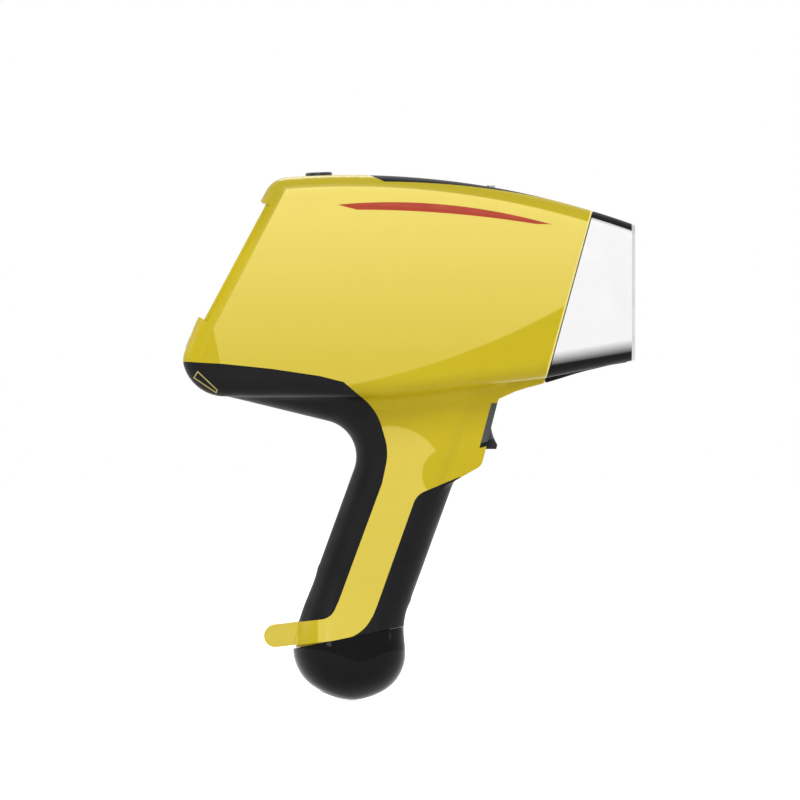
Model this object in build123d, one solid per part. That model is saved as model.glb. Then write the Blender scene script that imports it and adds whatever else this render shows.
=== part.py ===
from build123d import *
import os
from math import asin, atan2, cos, degrees, hypot, pi, radians, sin, sqrt, tan

# A pistol-shaped XRF analyser. Millimetres.
# Origin: centre of the measuring face at the front of the nose, on the centre plane.
# +X points out of the nose, +Z up, +Y to the operator's left.

# ---------------------------------------------------------------- driving dimensions
# Head, seen from the side: one long arc over the top, a leaning rear, a bowed belly.
ROOF_RADIUS = 460.0
ROOF_APEX = (-156.0, 64.3)
REAR_TOP_X = -198.4
REAR_KNEE = (-240.4, -16.0)
REAR_TIP = (-247.8, -35.5)
BELLY_HEEL = (-225.0, -56.9)
BELLY_LOW = (-137.0, -57.5)
BELLY_CHIN = (-49.0, -46.8)
NOSE_FOOT_Z = -37.0
REAR_TOP_RADIUS = 14.0
KNEE_RADIUS = 60.0
TIP_RADIUS = 12.0
BELLY_RADIUS = 80.0

# Head, seen from above: bowed flanks that draw in towards the nose.
HEAD_HALF_WIDTH = 41.0
WIDEST_X = -205.0
FLANK_PLAN_RADIUS = 2100.0
HEAD_EDGE_RADIUS = 10.0

# Walls
WALL = 3.2
SKIN = 1.6
STRIPE_DEPTH = 0.5
SEAM = 0.3
RUNNING_GAP = 0.4

# Grip: a rounded column on a leaning axis
GRIP_TILT = 20.0
GRIP_POINT = (-143.6, -146.9)
GRIP_DEPTH = 53.8
GRIP_WIDTH = 38.0
GRIP_CORNER = 14.0
WEB_START = (-228.0, -55.8)
WEB_CORNER = (-146.3, -75.7)
WEB_RADIUS = 20.0
GRIP_STRAIGHT_END = 12.0

# Trigger housing below the belly
HOUSE_WIDTH = 31.0
HOUSE_BROW = (-75.0, -59.5)
HOUSE_CHIN = (-84.0, -95.0)
HOUSE_CHIN_RADIUS = 6.0
HOUSE_ROOT = (-99.2, -103.5)
HOUSE_ROOT_RADIUS = 5.0

# Swell at the foot of the grip, which ends in the round battery cap
# (distance along the grip axis, back edge, front edge, half width, corner radius)
SWELL = [
    (12.0, -26.9, 26.9, 19.0, 14.0),
    (16.0, -26.9, 27.0, 19.1, 14.0),
    (31.4, -26.9, 29.6, 21.0, 15.5),
    (43.4, -26.9, 34.8, 24.0, 19.5),
    (52.6, -26.2, 35.6, 25.6, 22.5),
    (60.5, -24.8, 33.4, 25.2, 23.5),
    (67.0, -21.2, 28.8, 22.6, 21.8),
    (72.5, -15.6, 22.4, 18.0, 17.4),
    (76.2, -8.0, 15.6, 11.6, 11.2),
    (77.8, -2.0, 9.0, 5.4, 5.2),
]
PARTING_BACK = (-187.6, -195.5)
PARTING_FRONT = (-125.5, -183.0)

CREASE_RADIUS = 7.0

# Side-view boundaries of the rubber grips and of the nose
HEEL_LINE = [(-255.0, -37.4), (-225.5, -39.1), (-199.0, -41.8), (-172.7, -45.7), (-159.5, -49.0)]
WEB_LINE_TOP = (-141.4, -64.4)
WEB_LINE_SIDE = (-134.8, -87.0)
WEB_LINE_FOOT = (-138.5, -104.5)
STRIPE_BACK_FOOT = (-162.2, -168.9)
STRIPE_FRONT_TOP = (-96.5, -101.2)
STRIPE_FRONT_KNEE = (-119.6, -110.8)
STRIPE_FRONT_FOOT = (-141.2, -171.5)
STRIPE_TURN_RADIUS = 11.0
NOSE_LINE_TOP = (-23.1, 45.7)
NOSE_LINE_FOOT = (-49.0, -48.4)

# Nose
NOSE_PLATE = 1.8
NOSE_FRONT_WALL = 3.4
NOSE_SEAM = 0.6
CHEEK_DEPTH = 1.6
NOSE_ROOF_BAND = 3.9
CHIN_BAND = [(-60.0, -42.4), (-47.3, -40.2), (-24.2, -36.3), (-2.0, -32.5)]
WINDOW_WIDTH = 14.0
WINDOW_HEIGHT = 10.0
SPIGOT_LENGTH = 6.0
SPIGOT_WALL = 1.6
NOSE_SCREW_HEAD = 2.6
NOSE_SCREW_PLACES = [(-21.0, -26.0), (21.0, -26.0), (-20.0, 26.0), (20.0, 26.0)]

# Heat sink let into the roof
STRIP_REAR = -145.2
STRIP_RAMP = -137.0
STRIP_FRONT = -47.3
STRIP_DEPTH = 3.4
LEDGE = 2.6
FIN_PITCH = 4.0
FIN_GROOVE = 2.2
FIN_GROOVES = 9
FIN_ROOT_SHARE = 0.7
SINK_BOSS = (-134.0, -95.0)
SINK_BOSS_WIDTH = 38.0
SINK_BOSS_FOOT = 45.0
SINK_PAD = 1.0
SINK_SCREW_X = (-127.0, -79.0)
SINK_SCREW_Y = 24.5
SINK_SCREW_HEAD = 2.4

# Screen in its channel across the rear
REAR_MID = (-221.7, 17.3)
CHANNEL_LOW = -35.1
CHANNEL_HIGH = 36.6
SCREEN_SET_BACK = 2.8
BEZEL_PLATE = 1.2
SCREEN_GASKET = 0.5
SCREEN_WALL = 3.0
BEZEL_HEIGHT = 70.4
BEZEL_WIDTH = 63.6
BEZEL_CORNER = 4.0
TUB_WALL = 1.2
TUB_MARGIN = 2.0
TUB_DEPTH = 9.2
GLASS_HEIGHT = 65.0
GLASS_WIDTH = 56.0
WINDOW_ACTIVE_HEIGHT = 64.8 - 4.0
WINDOW_ACTIVE_WIDTH = 48.6
LCD_THICKNESS = 5.8
BOARD = 1.6

# Three keys on the lower lip
KEY_PITCH = 17.0
KEY_WIDTH = 13.0
KEY_HEIGHT = 7.6
KEY_CORNER = 2.6
KEY_PROUD = 0.35
KEY_TRAVEL = 0.6
KEY_FLANGE = 0.9
KEY_CENTRE_DROP = 1.6

# Power button on the roof
BUTTON_X = -173.3
BUTTON_RADIUS = 7.4
BUTTON_PROUD = 2.4
BUTTON_TRAVEL = 0.8
BUTTON_FLANGE = 1.6
BUTTON_FLANGE_GAP = 0.3
SWITCH_HEIGHT = 3.0
SWITCH_BOARD_DROP = 12.0
SWITCH_POST_Y = 12.5

# Trigger
TRIGGER_PIVOT = (-84.5, -60.5)
TRIGGER_PIN_RADIUS = 1.5
TRIGGER_HUB_RADIUS = 4.0
TRIGGER_WIDTH = 14.4
TRIGGER_TIP = (-75.2, -83.4)
TRIGGER_LIP = 2.4
SPRING_RADIUS = 2.6
SPRING_WIRE = 0.5
SPRING_Z = -76.0

# Battery and its round cap
BATTERY_DEPTH = 42.4
BATTERY_WIDTH = 29.6
BATTERY_CORNER = 9.0
BATTERY_TOP = -58.0
CONTACT_BLOCK = 4.0

# Strap lug behind the foot of the grip
LUG_TIP = (-197.3, -188.5)
LUG_ROOT = (-176.0, -185.85)
LUG_RADIUS = 6.2
LUG_WIDTH = 13.0
EYELET_RADIUS = 2.6

# Port cover on the lower rear corner
HEEL_RADIUS_CENTRE = (-225.0, -34.1)
HEEL_RADIUS = 22.8
COVER_FROM = 35.0
COVER_TO = 78.0
COVER_DEPTH = 2.4
COVER_HALF_WIDTH = 33.5
COVER_KNUCKLE = 1.2
COVER_SEAL = 0.7
COVER_SWING = 2.4
BAY_DEPTH = 10.0
BAY_HALF_WIDTH = 26.0
BAY_HALF_HEIGHT = 6.0

# Accent stripe: end, lower middle, end, and its fullest height
ACCENT_REAR = (-162.8, 47.9)
ACCENT_MID = (-105.0, 45.2)
ACCENT_FRONT = (-45.1, 36.9)
ACCENT_HEIGHT = 2.8

# Fasteners
SCREW_RADIUS = 1.3
SCREW_HEAD_RADIUS = 2.7
SCREW_HEAD = 2.0
BOSS_RADIUS = 3.4
HOUSING_SCREWS = [
    (-62.0, 45.5), (-158.0, 43.0), (-212.0, -47.0),
    (-150.0, -47.5), (-107.0, -71.0), (-57.0, -40.5),
]

# Measuring geometry: tube and detector aim at the window
WINDOW_POINT = (-3.0, 0.0)
TUBE_TILT = 24.0
DETECTOR_TILT = -38.0
WHEEL_OFFSET = 9.0
WHEEL_TEETH = 28
PINION_TEETH = 8
GEAR_MODULE = 1.0
WHEEL_STATION = 28.6
WHEEL_THICKNESS = 2.0
AXLE_RADIUS = 1.5
FRAME_BACK = 38.0
FILTERS = 6
FILTER_RADIUS = 3.2

# Chassis, boards and high-voltage supply
CHASSIS_Z = -33.0
CHASSIS_REAR = -212.0
CHASSIS_FRONT = -66.0
CHASSIS_HALF_WIDTH = 27.0
CHASSIS_PLATE = 2.0
BOARD_Z = -22.0
BOARD_HALF_WIDTH = 22.0
HV_REAR = -150.0
HV_FRONT = -92.0
HV_FOOT = 12.0


# ---------------------------------------------------------------- small helpers
def roof_z(x):
    """Height of the roof arc at one station."""
    return ROOF_APEX[1] - ROOF_RADIUS + sqrt(ROOF_RADIUS ** 2 - (x - ROOF_APEX[0]) ** 2)


def along_grip(s, t):
    """Point in the side view, s down the grip axis and t towards the front."""
    down = (-sin(radians(GRIP_TILT)), -cos(radians(GRIP_TILT)))
    front = (-down[1], down[0])
    return (
        GRIP_POINT[0] + s * down[0] + t * front[0],
        GRIP_POINT[1] + s * down[1] + t * front[1],
    )


def grip_section(s):
    """Plane across the grip axis: local x to the front, local y to the left."""
    x, z = along_grip(s, 0)
    down = (-sin(radians(GRIP_TILT)), 0, -cos(radians(GRIP_TILT)))
    front = (cos(radians(GRIP_TILT)), 0, -sin(radians(GRIP_TILT)))
    return Plane(origin=(x, 0, z), x_dir=front, z_dir=tuple(-d for d in down))


def corner(face, point):
    """The corner of a side-view face that lies at a point."""
    return [v for v in face.vertices() if hypot(v.X - point[0], v.Y - point[1]) < 0.6]


def slab(face, half_width):
    """A side-view face given width about the centre plane."""
    return extrude(Plane.XZ * face, half_width, both=True)


def zone(*points, half_width=60.0):
    """A many-sided side-view region given width about the centre plane."""
    return slab(make_face(Polyline(*points, close=True)), half_width)


def flat(vector):
    """A side-view point as a plain pair."""
    return (vector.X, vector.Y)


def one(shape):
    """The single solid in a result."""
    return max(shape.solids(), key=lambda solid: solid.volume)


# ---------------------------------------------------------------- outer forms
def head_profile():
    nose_top = (0.0, roof_z(0))
    nose_foot = (0.0, NOSE_FOOT_Z)
    rear_top = (REAR_TOP_X, roof_z(REAR_TOP_X))
    roof = ThreePointArc(nose_top, (REAR_TOP_X / 2, roof_z(REAR_TOP_X / 2)), rear_top)
    rear = Polyline(rear_top, REAR_KNEE, REAR_TIP)
    run_out = (BELLY_HEEL[0] - BELLY_LOW[0], BELLY_HEEL[1] - BELLY_LOW[1])
    heel = TangentArc(BELLY_HEEL, REAR_TIP, tangent=run_out)
    belly = Polyline(BELLY_HEEL, BELLY_LOW, BELLY_CHIN, nose_foot, nose_top)
    face = make_face([*roof.edges(), *rear.edges(), *heel.edges(), *belly.edges()])
    face = fillet(corner(face, rear_top), REAR_TOP_RADIUS)
    face = fillet(corner(face, REAR_KNEE), KNEE_RADIUS)
    face = fillet(corner(face, REAR_TIP), TIP_RADIUS)
    face = fillet(corner(face, BELLY_LOW), BELLY_RADIUS)
    return fillet(corner(face, BELLY_CHIN), BELLY_RADIUS)


def plan_lens(inset):
    """Seen from above, the head lies between two large arcs."""
    centre = FLANK_PLAN_RADIUS - HEAD_HALF_WIDTH
    left = Pos(WIDEST_X, -centre) * Circle(FLANK_PLAN_RADIUS - inset)
    right = Pos(WIDEST_X, centre) * Circle(FLANK_PLAN_RADIUS - inset)
    return extrude(left & right, 200.0, both=True)


def flank_edges(body):
    """Edges that run round the two bowed flanks."""
    tall = [f for f in body.faces() if f.geom_type == GeomType.CYLINDER and f.bounding_box().size.Z > 60]
    flanks = [f for f in tall if abs(f.center().Y) > 20]
    return [e for f in flanks for e in f.edges() if e.center().X < -6]


def head(inset=0.0):
    face = head_profile()
    if inset:
        face = offset(face, -inset)
    body = one(slab(face, 60.0) & plan_lens(inset))
    return body.fillet(HEAD_EDGE_RADIUS - inset, flank_edges(body))


def grip_column(inset=0.0):
    """Grip with the web for the thumb, straight up into the head."""
    half = GRIP_DEPTH / 2
    foot_back = along_grip(GRIP_STRAIGHT_END + 8.0, -half)
    foot_front = along_grip(GRIP_STRAIGHT_END + 8.0, half)
    front_top = along_grip(-118.0, half)
    inside = (-212.0, front_top[1])
    face = make_face(Polyline(inside, WEB_START, WEB_CORNER, foot_back, foot_front, front_top, close=True))
    face = fillet(corner(face, WEB_CORNER), WEB_RADIUS)
    if inset:
        face = offset(face, -inset)
    body = slab(face, GRIP_WIDTH / 2 - inset)
    rims = [e for e in body.edges() if abs(abs(e.center().Y) - GRIP_WIDTH / 2 + inset) < 0.01]
    rims = [e for e in rims if e.center().Z < WEB_START[1] - 0.5]
    rims = [e for e in rims if e.length > 1 and not across_grip(e)]
    body = body.fillet(GRIP_CORNER - inset, rims)
    return one(body - grip_prism(120.0, 90.0, 2.0, GRIP_STRAIGHT_END, 60.0))


def across_grip(edge):
    """True for the edges of the square foot of the grip column."""
    run = edge.tangent_at(0.5)
    down = Vector(-sin(radians(GRIP_TILT)), 0, -cos(radians(GRIP_TILT)))
    return abs(run.dot(down)) < 0.05 and edge.center().Z < -120


def swell(inset=0.0):
    sections = []
    for s, back, front, half_width, radius in SWELL:
        width = front - back - 2 * inset
        height = 2 * (half_width - inset)
        centre = (front + back) / 2
        radius = min(radius - inset, width / 2 - 0.2, height / 2 - 0.2)
        sections.append(grip_section(s) * Pos(centre, 0) * RectangleRounded(width, height, radius))
    return loft(sections)


def trigger_house(inset=0.0):
    """Narrower body between the belly and the grip, which holds the trigger."""
    brow_high = (HOUSE_BROW[0] + 12.0, BELLY_CHIN[1] + 8.0)
    root = HOUSE_ROOT
    inside_low = along_grip(-30.0, 0.0)
    inside_high = (-130.0, brow_high[1])
    face = make_face(Polyline(brow_high, HOUSE_BROW, HOUSE_CHIN, root, inside_low, inside_high, close=True))
    face = fillet(corner(face, HOUSE_CHIN), HOUSE_CHIN_RADIUS)
    if inset:
        face = offset(face, -inset)
    body = slab(face, HOUSE_WIDTH / 2 - inset)
    return body



def on_faces(shape, point):
    """True where a point lies on the outside of a shape."""
    return any(face.distance_to(point) < 0.02 for face in shape.faces())


def junction(whole, first, second):
    """Edges of a union where two of its bodies meet."""
    return [e for e in whole.edges() if on_faces(first, e.center()) and on_faces(second, e.center())]


def bodywork():
    """The whole outer form, with soft creases where grip and trigger housing meet the belly."""
    top = head()
    stem = grip_column()
    body = one(top + stem)
    body = body.fillet(CREASE_RADIUS, junction(body, top, stem))
    house = trigger_house()
    joined = one(body + house)
    joined = joined.fillet(HOUSE_ROOT_RADIUS, junction(joined, body, house))
    return one(joined + swell())


def inner_form(inset):
    return one(head(inset) + grip_column(inset) + trigger_house(inset) + swell(inset))


# ---------------------------------------------------------------- side-view zones
def below_parting(gap=0.0):
    """Everything under the sloping joint between grip and battery cap."""
    run = Vector(PARTING_FRONT[0] - PARTING_BACK[0], PARTING_FRONT[1] - PARTING_BACK[1]).normalized()
    low = Vector(run.Y, -run.X)
    back = Vector(*PARTING_BACK) - run * 60 - low * gap
    front = Vector(*PARTING_FRONT) + run * 60 - low * gap
    return zone(
        (back.X, back.Y), (front.X, front.Y),
        (front.X + 80 * low.X, front.Y + 80 * low.Y), (back.X + 80 * low.X, back.Y + 80 * low.Y),
    )


def ahead_of_nose_line(gap=0.0):
    """Everything in front of the slanted joint between housing and nose."""
    run = Vector(NOSE_LINE_TOP[0] - NOSE_LINE_FOOT[0], NOSE_LINE_TOP[1] - NOSE_LINE_FOOT[1]).normalized()
    top = Vector(*NOSE_LINE_TOP) + run * 60
    foot = Vector(*NOSE_LINE_FOOT) - run * 60
    return zone((top.X + gap, top.Y), (80, top.Y), (80, foot.Y), (foot.X + gap, foot.Y))


def lug_line(side):
    """Upper or lower edge of the strap lug, carried on into the grip."""
    run = Vector(LUG_ROOT[0] - LUG_TIP[0], LUG_ROOT[1] - LUG_TIP[1]).normalized()
    up = Vector(-run.Y, run.X) * LUG_RADIUS * side
    tip = Vector(*LUG_TIP) + up - run * 40
    root = Vector(*LUG_ROOT) + up
    return (tip.X, tip.Y), (root.X, root.Y)


def back_grip_zone():
    lug_far, lug_root = lug_line(1)
    turn = Vector(*STRIPE_BACK_FOOT)
    low = (turn.X - 4.3, lug_root[1] + (turn.X - 4.3 - lug_root[0]) * 0.12)
    outline = Polyline(
        *HEEL_LINE, WEB_LINE_TOP, WEB_LINE_SIDE, WEB_LINE_FOOT, STRIPE_BACK_FOOT, low, lug_far,
        (-300.0, lug_far[1]), (-300.0, HEEL_LINE[0][1]), close=True,
    )
    face = make_face(outline)
    face = fillet(corner(face, WEB_LINE_TOP), 30.0)
    face = fillet(corner(face, WEB_LINE_SIDE), 30.0)
    face = fillet(corner(face, low), STRIPE_TURN_RADIUS - 2)
    return slab(face, 60.0)


def front_grip_zone():
    lug_far, lug_root = lug_line(-1)
    low = (STRIPE_FRONT_FOOT[0] - 7.0, lug_root[1] + 3.4)
    outline = Polyline(
        STRIPE_FRONT_TOP, STRIPE_FRONT_KNEE, STRIPE_FRONT_FOOT, low, lug_far,
        (lug_far[0], -260.0), (-60.0, -260.0), (-60.0, STRIPE_FRONT_TOP[1]), close=True,
    )
    face = make_face(outline)
    face = fillet(corner(face, STRIPE_FRONT_KNEE), STRIPE_TURN_RADIUS)
    face = fillet(corner(face, low), STRIPE_TURN_RADIUS)
    return slab(face, 60.0)


def strip_floor(x, share=1.0):
    """Underside of the heat sink where it shows, deep at the rear and running out in front."""
    fade = (STRIP_FRONT - x) / (STRIP_FRONT - STRIP_RAMP)
    return roof_z(x) - STRIP_DEPTH * fade * share


def strip_zone(drop=0.0, share=1.0, pull_in=0.0):
    """Side-view region above the heat sink's underside."""
    middle = (STRIP_RAMP + STRIP_FRONT) / 2
    ramp = STRIP_RAMP + pull_in
    front = STRIP_FRONT - pull_in
    low = (ramp, strip_floor(ramp, share) - drop)
    mid = (middle, strip_floor(middle, share) - drop)
    end = (front, strip_floor(front, share) - drop)
    floor = ThreePointArc(low, mid, end)
    slope = (roof_z(STRIP_REAR) - strip_floor(STRIP_RAMP)) / (STRIP_RAMP - STRIP_REAR)
    rise = (low[0] - 20.0, low[1] + 20.0 * slope)
    lid = Polyline(low, rise, (rise[0], 90.0), (front, 90.0), end)
    return slab(make_face([*floor.edges(), *lid.edges()]), 60.0)


def rear_frame(depth=0.0):
    """Plane on the leaning rear: local x to the right, local y up the slope, z outwards."""
    run = Vector(roof_rear()[0] - REAR_KNEE[0], 0, roof_rear()[1] - REAR_KNEE[1]).normalized()
    out = Vector(-run.Z, 0, run.X)
    origin = Vector(REAR_MID[0], 0, REAR_MID[1]) - out * depth
    return Plane(origin=origin, x_dir=(0, -1, 0), z_dir=out)


def roof_rear():
    return (REAR_TOP_X, roof_z(REAR_TOP_X))


def rear_block(low, high, width, near, far, corner_radius=0.0):
    """Block on the rear frame between two depths under the rear face."""
    centre = (low + high) / 2
    height = high - low
    outline = Rectangle(width, height)
    if corner_radius:
        outline = RectangleRounded(width, height, corner_radius)
    return extrude(rear_frame(far) * Pos(0, centre) * outline, far - near)


def rear_centred(height, width, near, far, corner_radius=0.0):
    """The same, centred on the screen."""
    mid = (CHANNEL_LOW + CHANNEL_HIGH) / 2
    return rear_block(mid - height / 2, mid + height / 2, width, near, far, corner_radius)


def lip_frame(depth=0.0):
    """Plane on the lower lip, where the keys are."""
    run = Vector(REAR_KNEE[0] - REAR_TIP[0], 0, REAR_KNEE[1] - REAR_TIP[1]).normalized()
    out = Vector(-run.Z, 0, run.X)
    mid = Vector((REAR_KNEE[0] + REAR_TIP[0]) / 2, 0, (REAR_KNEE[1] + REAR_TIP[1]) / 2)
    return Plane(origin=mid - run * KEY_CENTRE_DROP - out * depth, x_dir=(0, -1, 0), z_dir=out)


def beam(distance, offset=0.0, side=0.0, tilt=TUBE_TILT):
    """Point on a measuring axis, from the window backwards."""
    back = Vector(-cos(radians(tilt)), 0, sin(radians(tilt)))
    up = Vector(sin(radians(tilt)), 0, cos(radians(tilt)))
    return Vector(WINDOW_POINT[0], side, WINDOW_POINT[1]) + back * distance + up * offset


def beam_plane(distance, offset=0.0, side=0.0, tilt=TUBE_TILT):
    """Plane across a measuring axis, its normal pointing backwards."""
    back = Vector(-cos(radians(tilt)), 0, sin(radians(tilt)))
    return Plane(origin=beam(distance, offset, side, tilt), x_dir=(0, 1, 0), z_dir=back)


def rod(radius, start, end, offset=0.0, side=0.0, tilt=TUBE_TILT):
    """Round bar along a measuring axis."""
    return extrude(beam_plane(start, offset, side, tilt) * Circle(radius), end - start)


def cross_bar(radius, x, z, y_from, y_to):
    """Round bar along Y."""
    return Pos(x, y_from, z) * Rot(-90, 0, 0) * Cylinder(
        radius, y_to - y_from, align=(Align.CENTER, Align.CENTER, Align.MIN)
    )


def post(radius, x, y, z_from, z_to):
    """Round bar along Z."""
    return Pos(x, y, z_from) * Cylinder(radius, z_to - z_from, align=(Align.CENTER, Align.CENTER, Align.MIN))


def block(x_from, x_to, y_from, y_to, z_from, z_to):
    size = (x_to - x_from, y_to - y_from, z_to - z_from)
    return Pos((x_from + x_to) / 2, (y_from + y_to) / 2, (z_from + z_to) / 2) * Box(*size)


def half_width_at(x):
    """Half width of the head's flank at a station."""
    bow = sqrt(FLANK_PLAN_RADIUS ** 2 - (x - WIDEST_X) ** 2) - FLANK_PLAN_RADIUS
    return HEAD_HALF_WIDTH + bow


def grip_prism(depth, width, radius, s_from, s_to):
    """Rounded bar along the grip axis."""
    section = grip_section(s_to) * RectangleRounded(depth, width, radius)
    return extrude(section, s_to - s_from)


# ---------------------------------------------------------------- shared bodies
OUTER = bodywork()
UNDER_SKIN = inner_form(SKIN)
PARTS = {}

CHANNEL_DEPTH = SCREEN_SET_BACK + BEZEL_PLATE + SCREEN_GASKET
SCREEN_BACK = CHANNEL_DEPTH + SCREEN_WALL


def trigger_slot(grow=0.0):
    """Space in the trigger housing in which the trigger swings."""
    pivot_x, pivot_z = TRIGGER_PIVOT
    roof = pivot_z + TRIGGER_HUB_RADIUS + 0.6 + grow
    back = pivot_x - 13.0 - grow
    floor = TRIGGER_TIP[1] - TRIGGER_LIP - 1.6 - grow
    half = TRIGGER_WIDTH / 2 + RUNNING_GAP + grow
    return zone(
        (-60.0, roof - 2.5), (pivot_x + 7.0, roof), (pivot_x - 6.0, roof), (back, roof - 10.0),
        (back, floor), (-60.0, floor), half_width=half,
    )


def battery_well(depth_gap=RUNNING_GAP):
    return grip_prism(
        BATTERY_DEPTH + 2 * depth_gap, BATTERY_WIDTH + 2 * depth_gap, BATTERY_CORNER + depth_gap,
        BATTERY_TOP - CONTACT_BLOCK - 2.0, 100.0,
    )


def heel_point(angle, radius):
    """Point on the round heel of the head, the angle counted down from level."""
    return (
        HEEL_RADIUS_CENTRE[0] - radius * cos(radians(angle)),
        HEEL_RADIUS_CENTRE[1] - radius * sin(radians(angle)),
    )


def cover_sector(trim=0.0):
    """Wedge in which the port cover lies."""
    near = degrees(trim / HEEL_RADIUS)
    first = heel_point(COVER_FROM + near, 60.0)
    last = heel_point(COVER_TO - near, 60.0)
    return zone(HEEL_RADIUS_CENTRE, first, last, half_width=COVER_HALF_WIDTH - trim)


def bay_frame(radius):
    """Plane across the port bay, its normal pointing out of the heel."""
    middle = (COVER_FROM + COVER_TO) / 2
    x, z = heel_point(middle, radius)
    out = Vector(-cos(radians(middle)), 0, -sin(radians(middle)))
    return Plane(origin=(x, 0, z), x_dir=(0, 1, 0), z_dir=out)


def bay(grow=0.0, from_depth=None, to_depth=None):
    """Square bay behind the port cover, between two depths under the heel."""
    deep = BAY_DEPTH + COVER_DEPTH if to_depth is None else to_depth
    shallow = -2.0 if from_depth is None else from_depth
    outline = RectangleRounded(2 * (BAY_HALF_WIDTH + grow), 2 * (BAY_HALF_HEIGHT + grow), 1.5 + grow)
    return extrude(bay_frame(HEEL_RADIUS - deep - grow) * outline, deep + grow - shallow)


COVER_PIN = heel_point(COVER_TO + 1.0, HEEL_RADIUS - COVER_DEPTH / 2)


def cavity():
    """Hollow of the housing: head, neck and battery well, less the walls that stand in it."""
    hollow = head(WALL)
    hollow = hollow - rear_block(CHANNEL_LOW - WALL, CHANNEL_HIGH + WALL, 200.0, -20.0, SCREEN_BACK)
    hollow = hollow - (strip_zone(drop=LEDGE) - strip_zone(drop=-40.0))
    neck = grip_column(WALL) - grip_prism(120.0, 80.0, 2.0, BATTERY_TOP - CONTACT_BLOCK - 2.0, 120.0)
    hollow = hollow + neck + battery_well()
    hollow = hollow - trigger_slot(SKIN)
    hollow = hollow - bay(grow=SKIN)
    return one(hollow)


def screw_seat(x, z):
    """Depth in Y of a housing screw's head seat, on the left flank."""
    if z < -60:
        return GRIP_WIDTH / 2 - SCREW_HEAD - 1.2
    drop = 4.0 if z < -38 else 0.0
    return half_width_at(x) - SCREW_HEAD - 1.0 - drop


def bosses(side):
    """Screw bosses across one half, from its wall to the centre plane."""
    group = []
    for x, z in HOUSING_SCREWS:
        reach = GRIP_WIDTH / 2 if z < -60 else half_width_at(x)
        group.append(cross_bar(BOSS_RADIUS, x, z, min(0, side * reach), max(0, side * reach)))
    for x in (-8.0, 8.0):
        group.append(on_roof(post(2.2, x, side * SWITCH_POST_Y, -SWITCH_BOARD_DROP, 0)))
    frame = lip_frame(WALL + KEY_FLANGE + KEY_TRAVEL + 0.8)
    group.append(extrude(frame * Pos(-side * (KEY_PITCH + 11.5), 0) * Circle(1.8), KEY_FLANGE + 1.6))
    return group


def rails(side):
    """Ledges along the flanks that carry the chassis."""
    near = side * (CHASSIS_HALF_WIDTH - 3.0)
    far = side * 60.0
    return block(CHASSIS_REAR + 4, CHASSIS_FRONT - 2, min(near, far), max(near, far), CHASSIS_Z - 3.0, CHASSIS_Z)


# ---------------------------------------------------------------- housing halves and grips
def accent_zone():
    lower = ThreePointArc(ACCENT_REAR, (ACCENT_MID[0], ACCENT_MID[1]), ACCENT_FRONT)
    upper = ThreePointArc(ACCENT_REAR, (ACCENT_MID[0], ACCENT_MID[1] + ACCENT_HEIGHT), ACCENT_FRONT)
    return slab(make_face([*lower.edges(), *upper.edges()]), 60.0)


def sink_slot():
    """Opening in the roof ledge for the boss of the heat sink."""
    x_from, x_to = SINK_BOSS
    half = SINK_BOSS_WIDTH / 2 + RUNNING_GAP
    return block(x_from - RUNNING_GAP, x_to + RUNNING_GAP, -half, half, SINK_BOSS_FOOT - 5, 80)


def key_outline(place):
    return Pos(place * KEY_PITCH, 0) * RectangleRounded(KEY_WIDTH, KEY_HEIGHT, KEY_CORNER)


def make_housing():
    shell = OUTER - ahead_of_nose_line() - below_parting(SEAM)
    skin = OUTER - UNDER_SKIN
    back = skin & back_grip_zone()
    front = (skin & front_grip_zone()) - below_parting(SEAM) - lug_form(0.05)
    cover_seat = cover_sector() - head(COVER_DEPTH + SEAM)
    back = back - cover_sector() - lug_form(0.05)
    shell = shell - back - front
    shell = shell - strip_zone()
    shell = shell - rear_block(CHANNEL_LOW, CHANNEL_HIGH, 200.0, -20.0, CHANNEL_DEPTH)
    hollow = cavity()
    shell = shell - hollow
    shell = shell - cover_seat - bay()
    shell = shell - trigger_slot()
    shell = shell - sink_slot()
    shell = shell - rear_centred(
        BEZEL_HEIGHT - 2 * TUB_MARGIN + 0.4, BEZEL_WIDTH - 2 * TUB_MARGIN + 0.4, -2.0, 16.0, BEZEL_CORNER - 0.8,
    )
    button_hole = on_roof(post(BUTTON_RADIUS + 0.3, 0, 0, -8.0, 20.0))
    shell = shell - button_hole
    for place in (-1, 0, 1):
        gap = Pos(place * KEY_PITCH, 0) * RectangleRounded(KEY_WIDTH + 0.5, KEY_HEIGHT + 0.5, KEY_CORNER + 0.25)
        shell = shell - extrude(lip_frame(WALL + 4) * gap, WALL + 8)
    accent = OUTER - head(STRIPE_DEPTH)
    accent = accent & accent_zone()
    shell = shell - accent
    for side, name in ((-1, "right_housing"), (1, "left_housing")):
        half = shell & block(-300, 50, min(0, side * 80), max(0, side * 80), -260, 100)
        fill = hollow & block(-300, 50, min(0, side * 80), max(0, side * 80), -260, 100)
        ribs = [rib & fill for rib in bosses(side)]
        ribs.append(rails(side) & fill)
        for rib in ribs:
            if rib:
                half = half + rib
        for x, z in HOUSING_SCREWS:
            seat = screw_seat(x, z)
            half = half - cross_bar(SCREW_RADIUS + 0.02, x, z, -10.0, seat + 1)
            if side > 0:
                half = half - cross_bar(SCREW_HEAD_RADIUS + 0.2, x, z, seat, 80)
        pivot_x, pivot_z = TRIGGER_PIVOT
        half = half - cross_bar(TRIGGER_PIN_RADIUS + 0.02, pivot_x, pivot_z, -12.0, 12.0)
        half = half - lug_form(0.05)
        PARTS[name] = one(half)
    PARTS["back_grip"] = one(back)
    PARTS["front_grip"] = one(front)
    PARTS["accent_stripes"] = accent


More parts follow.
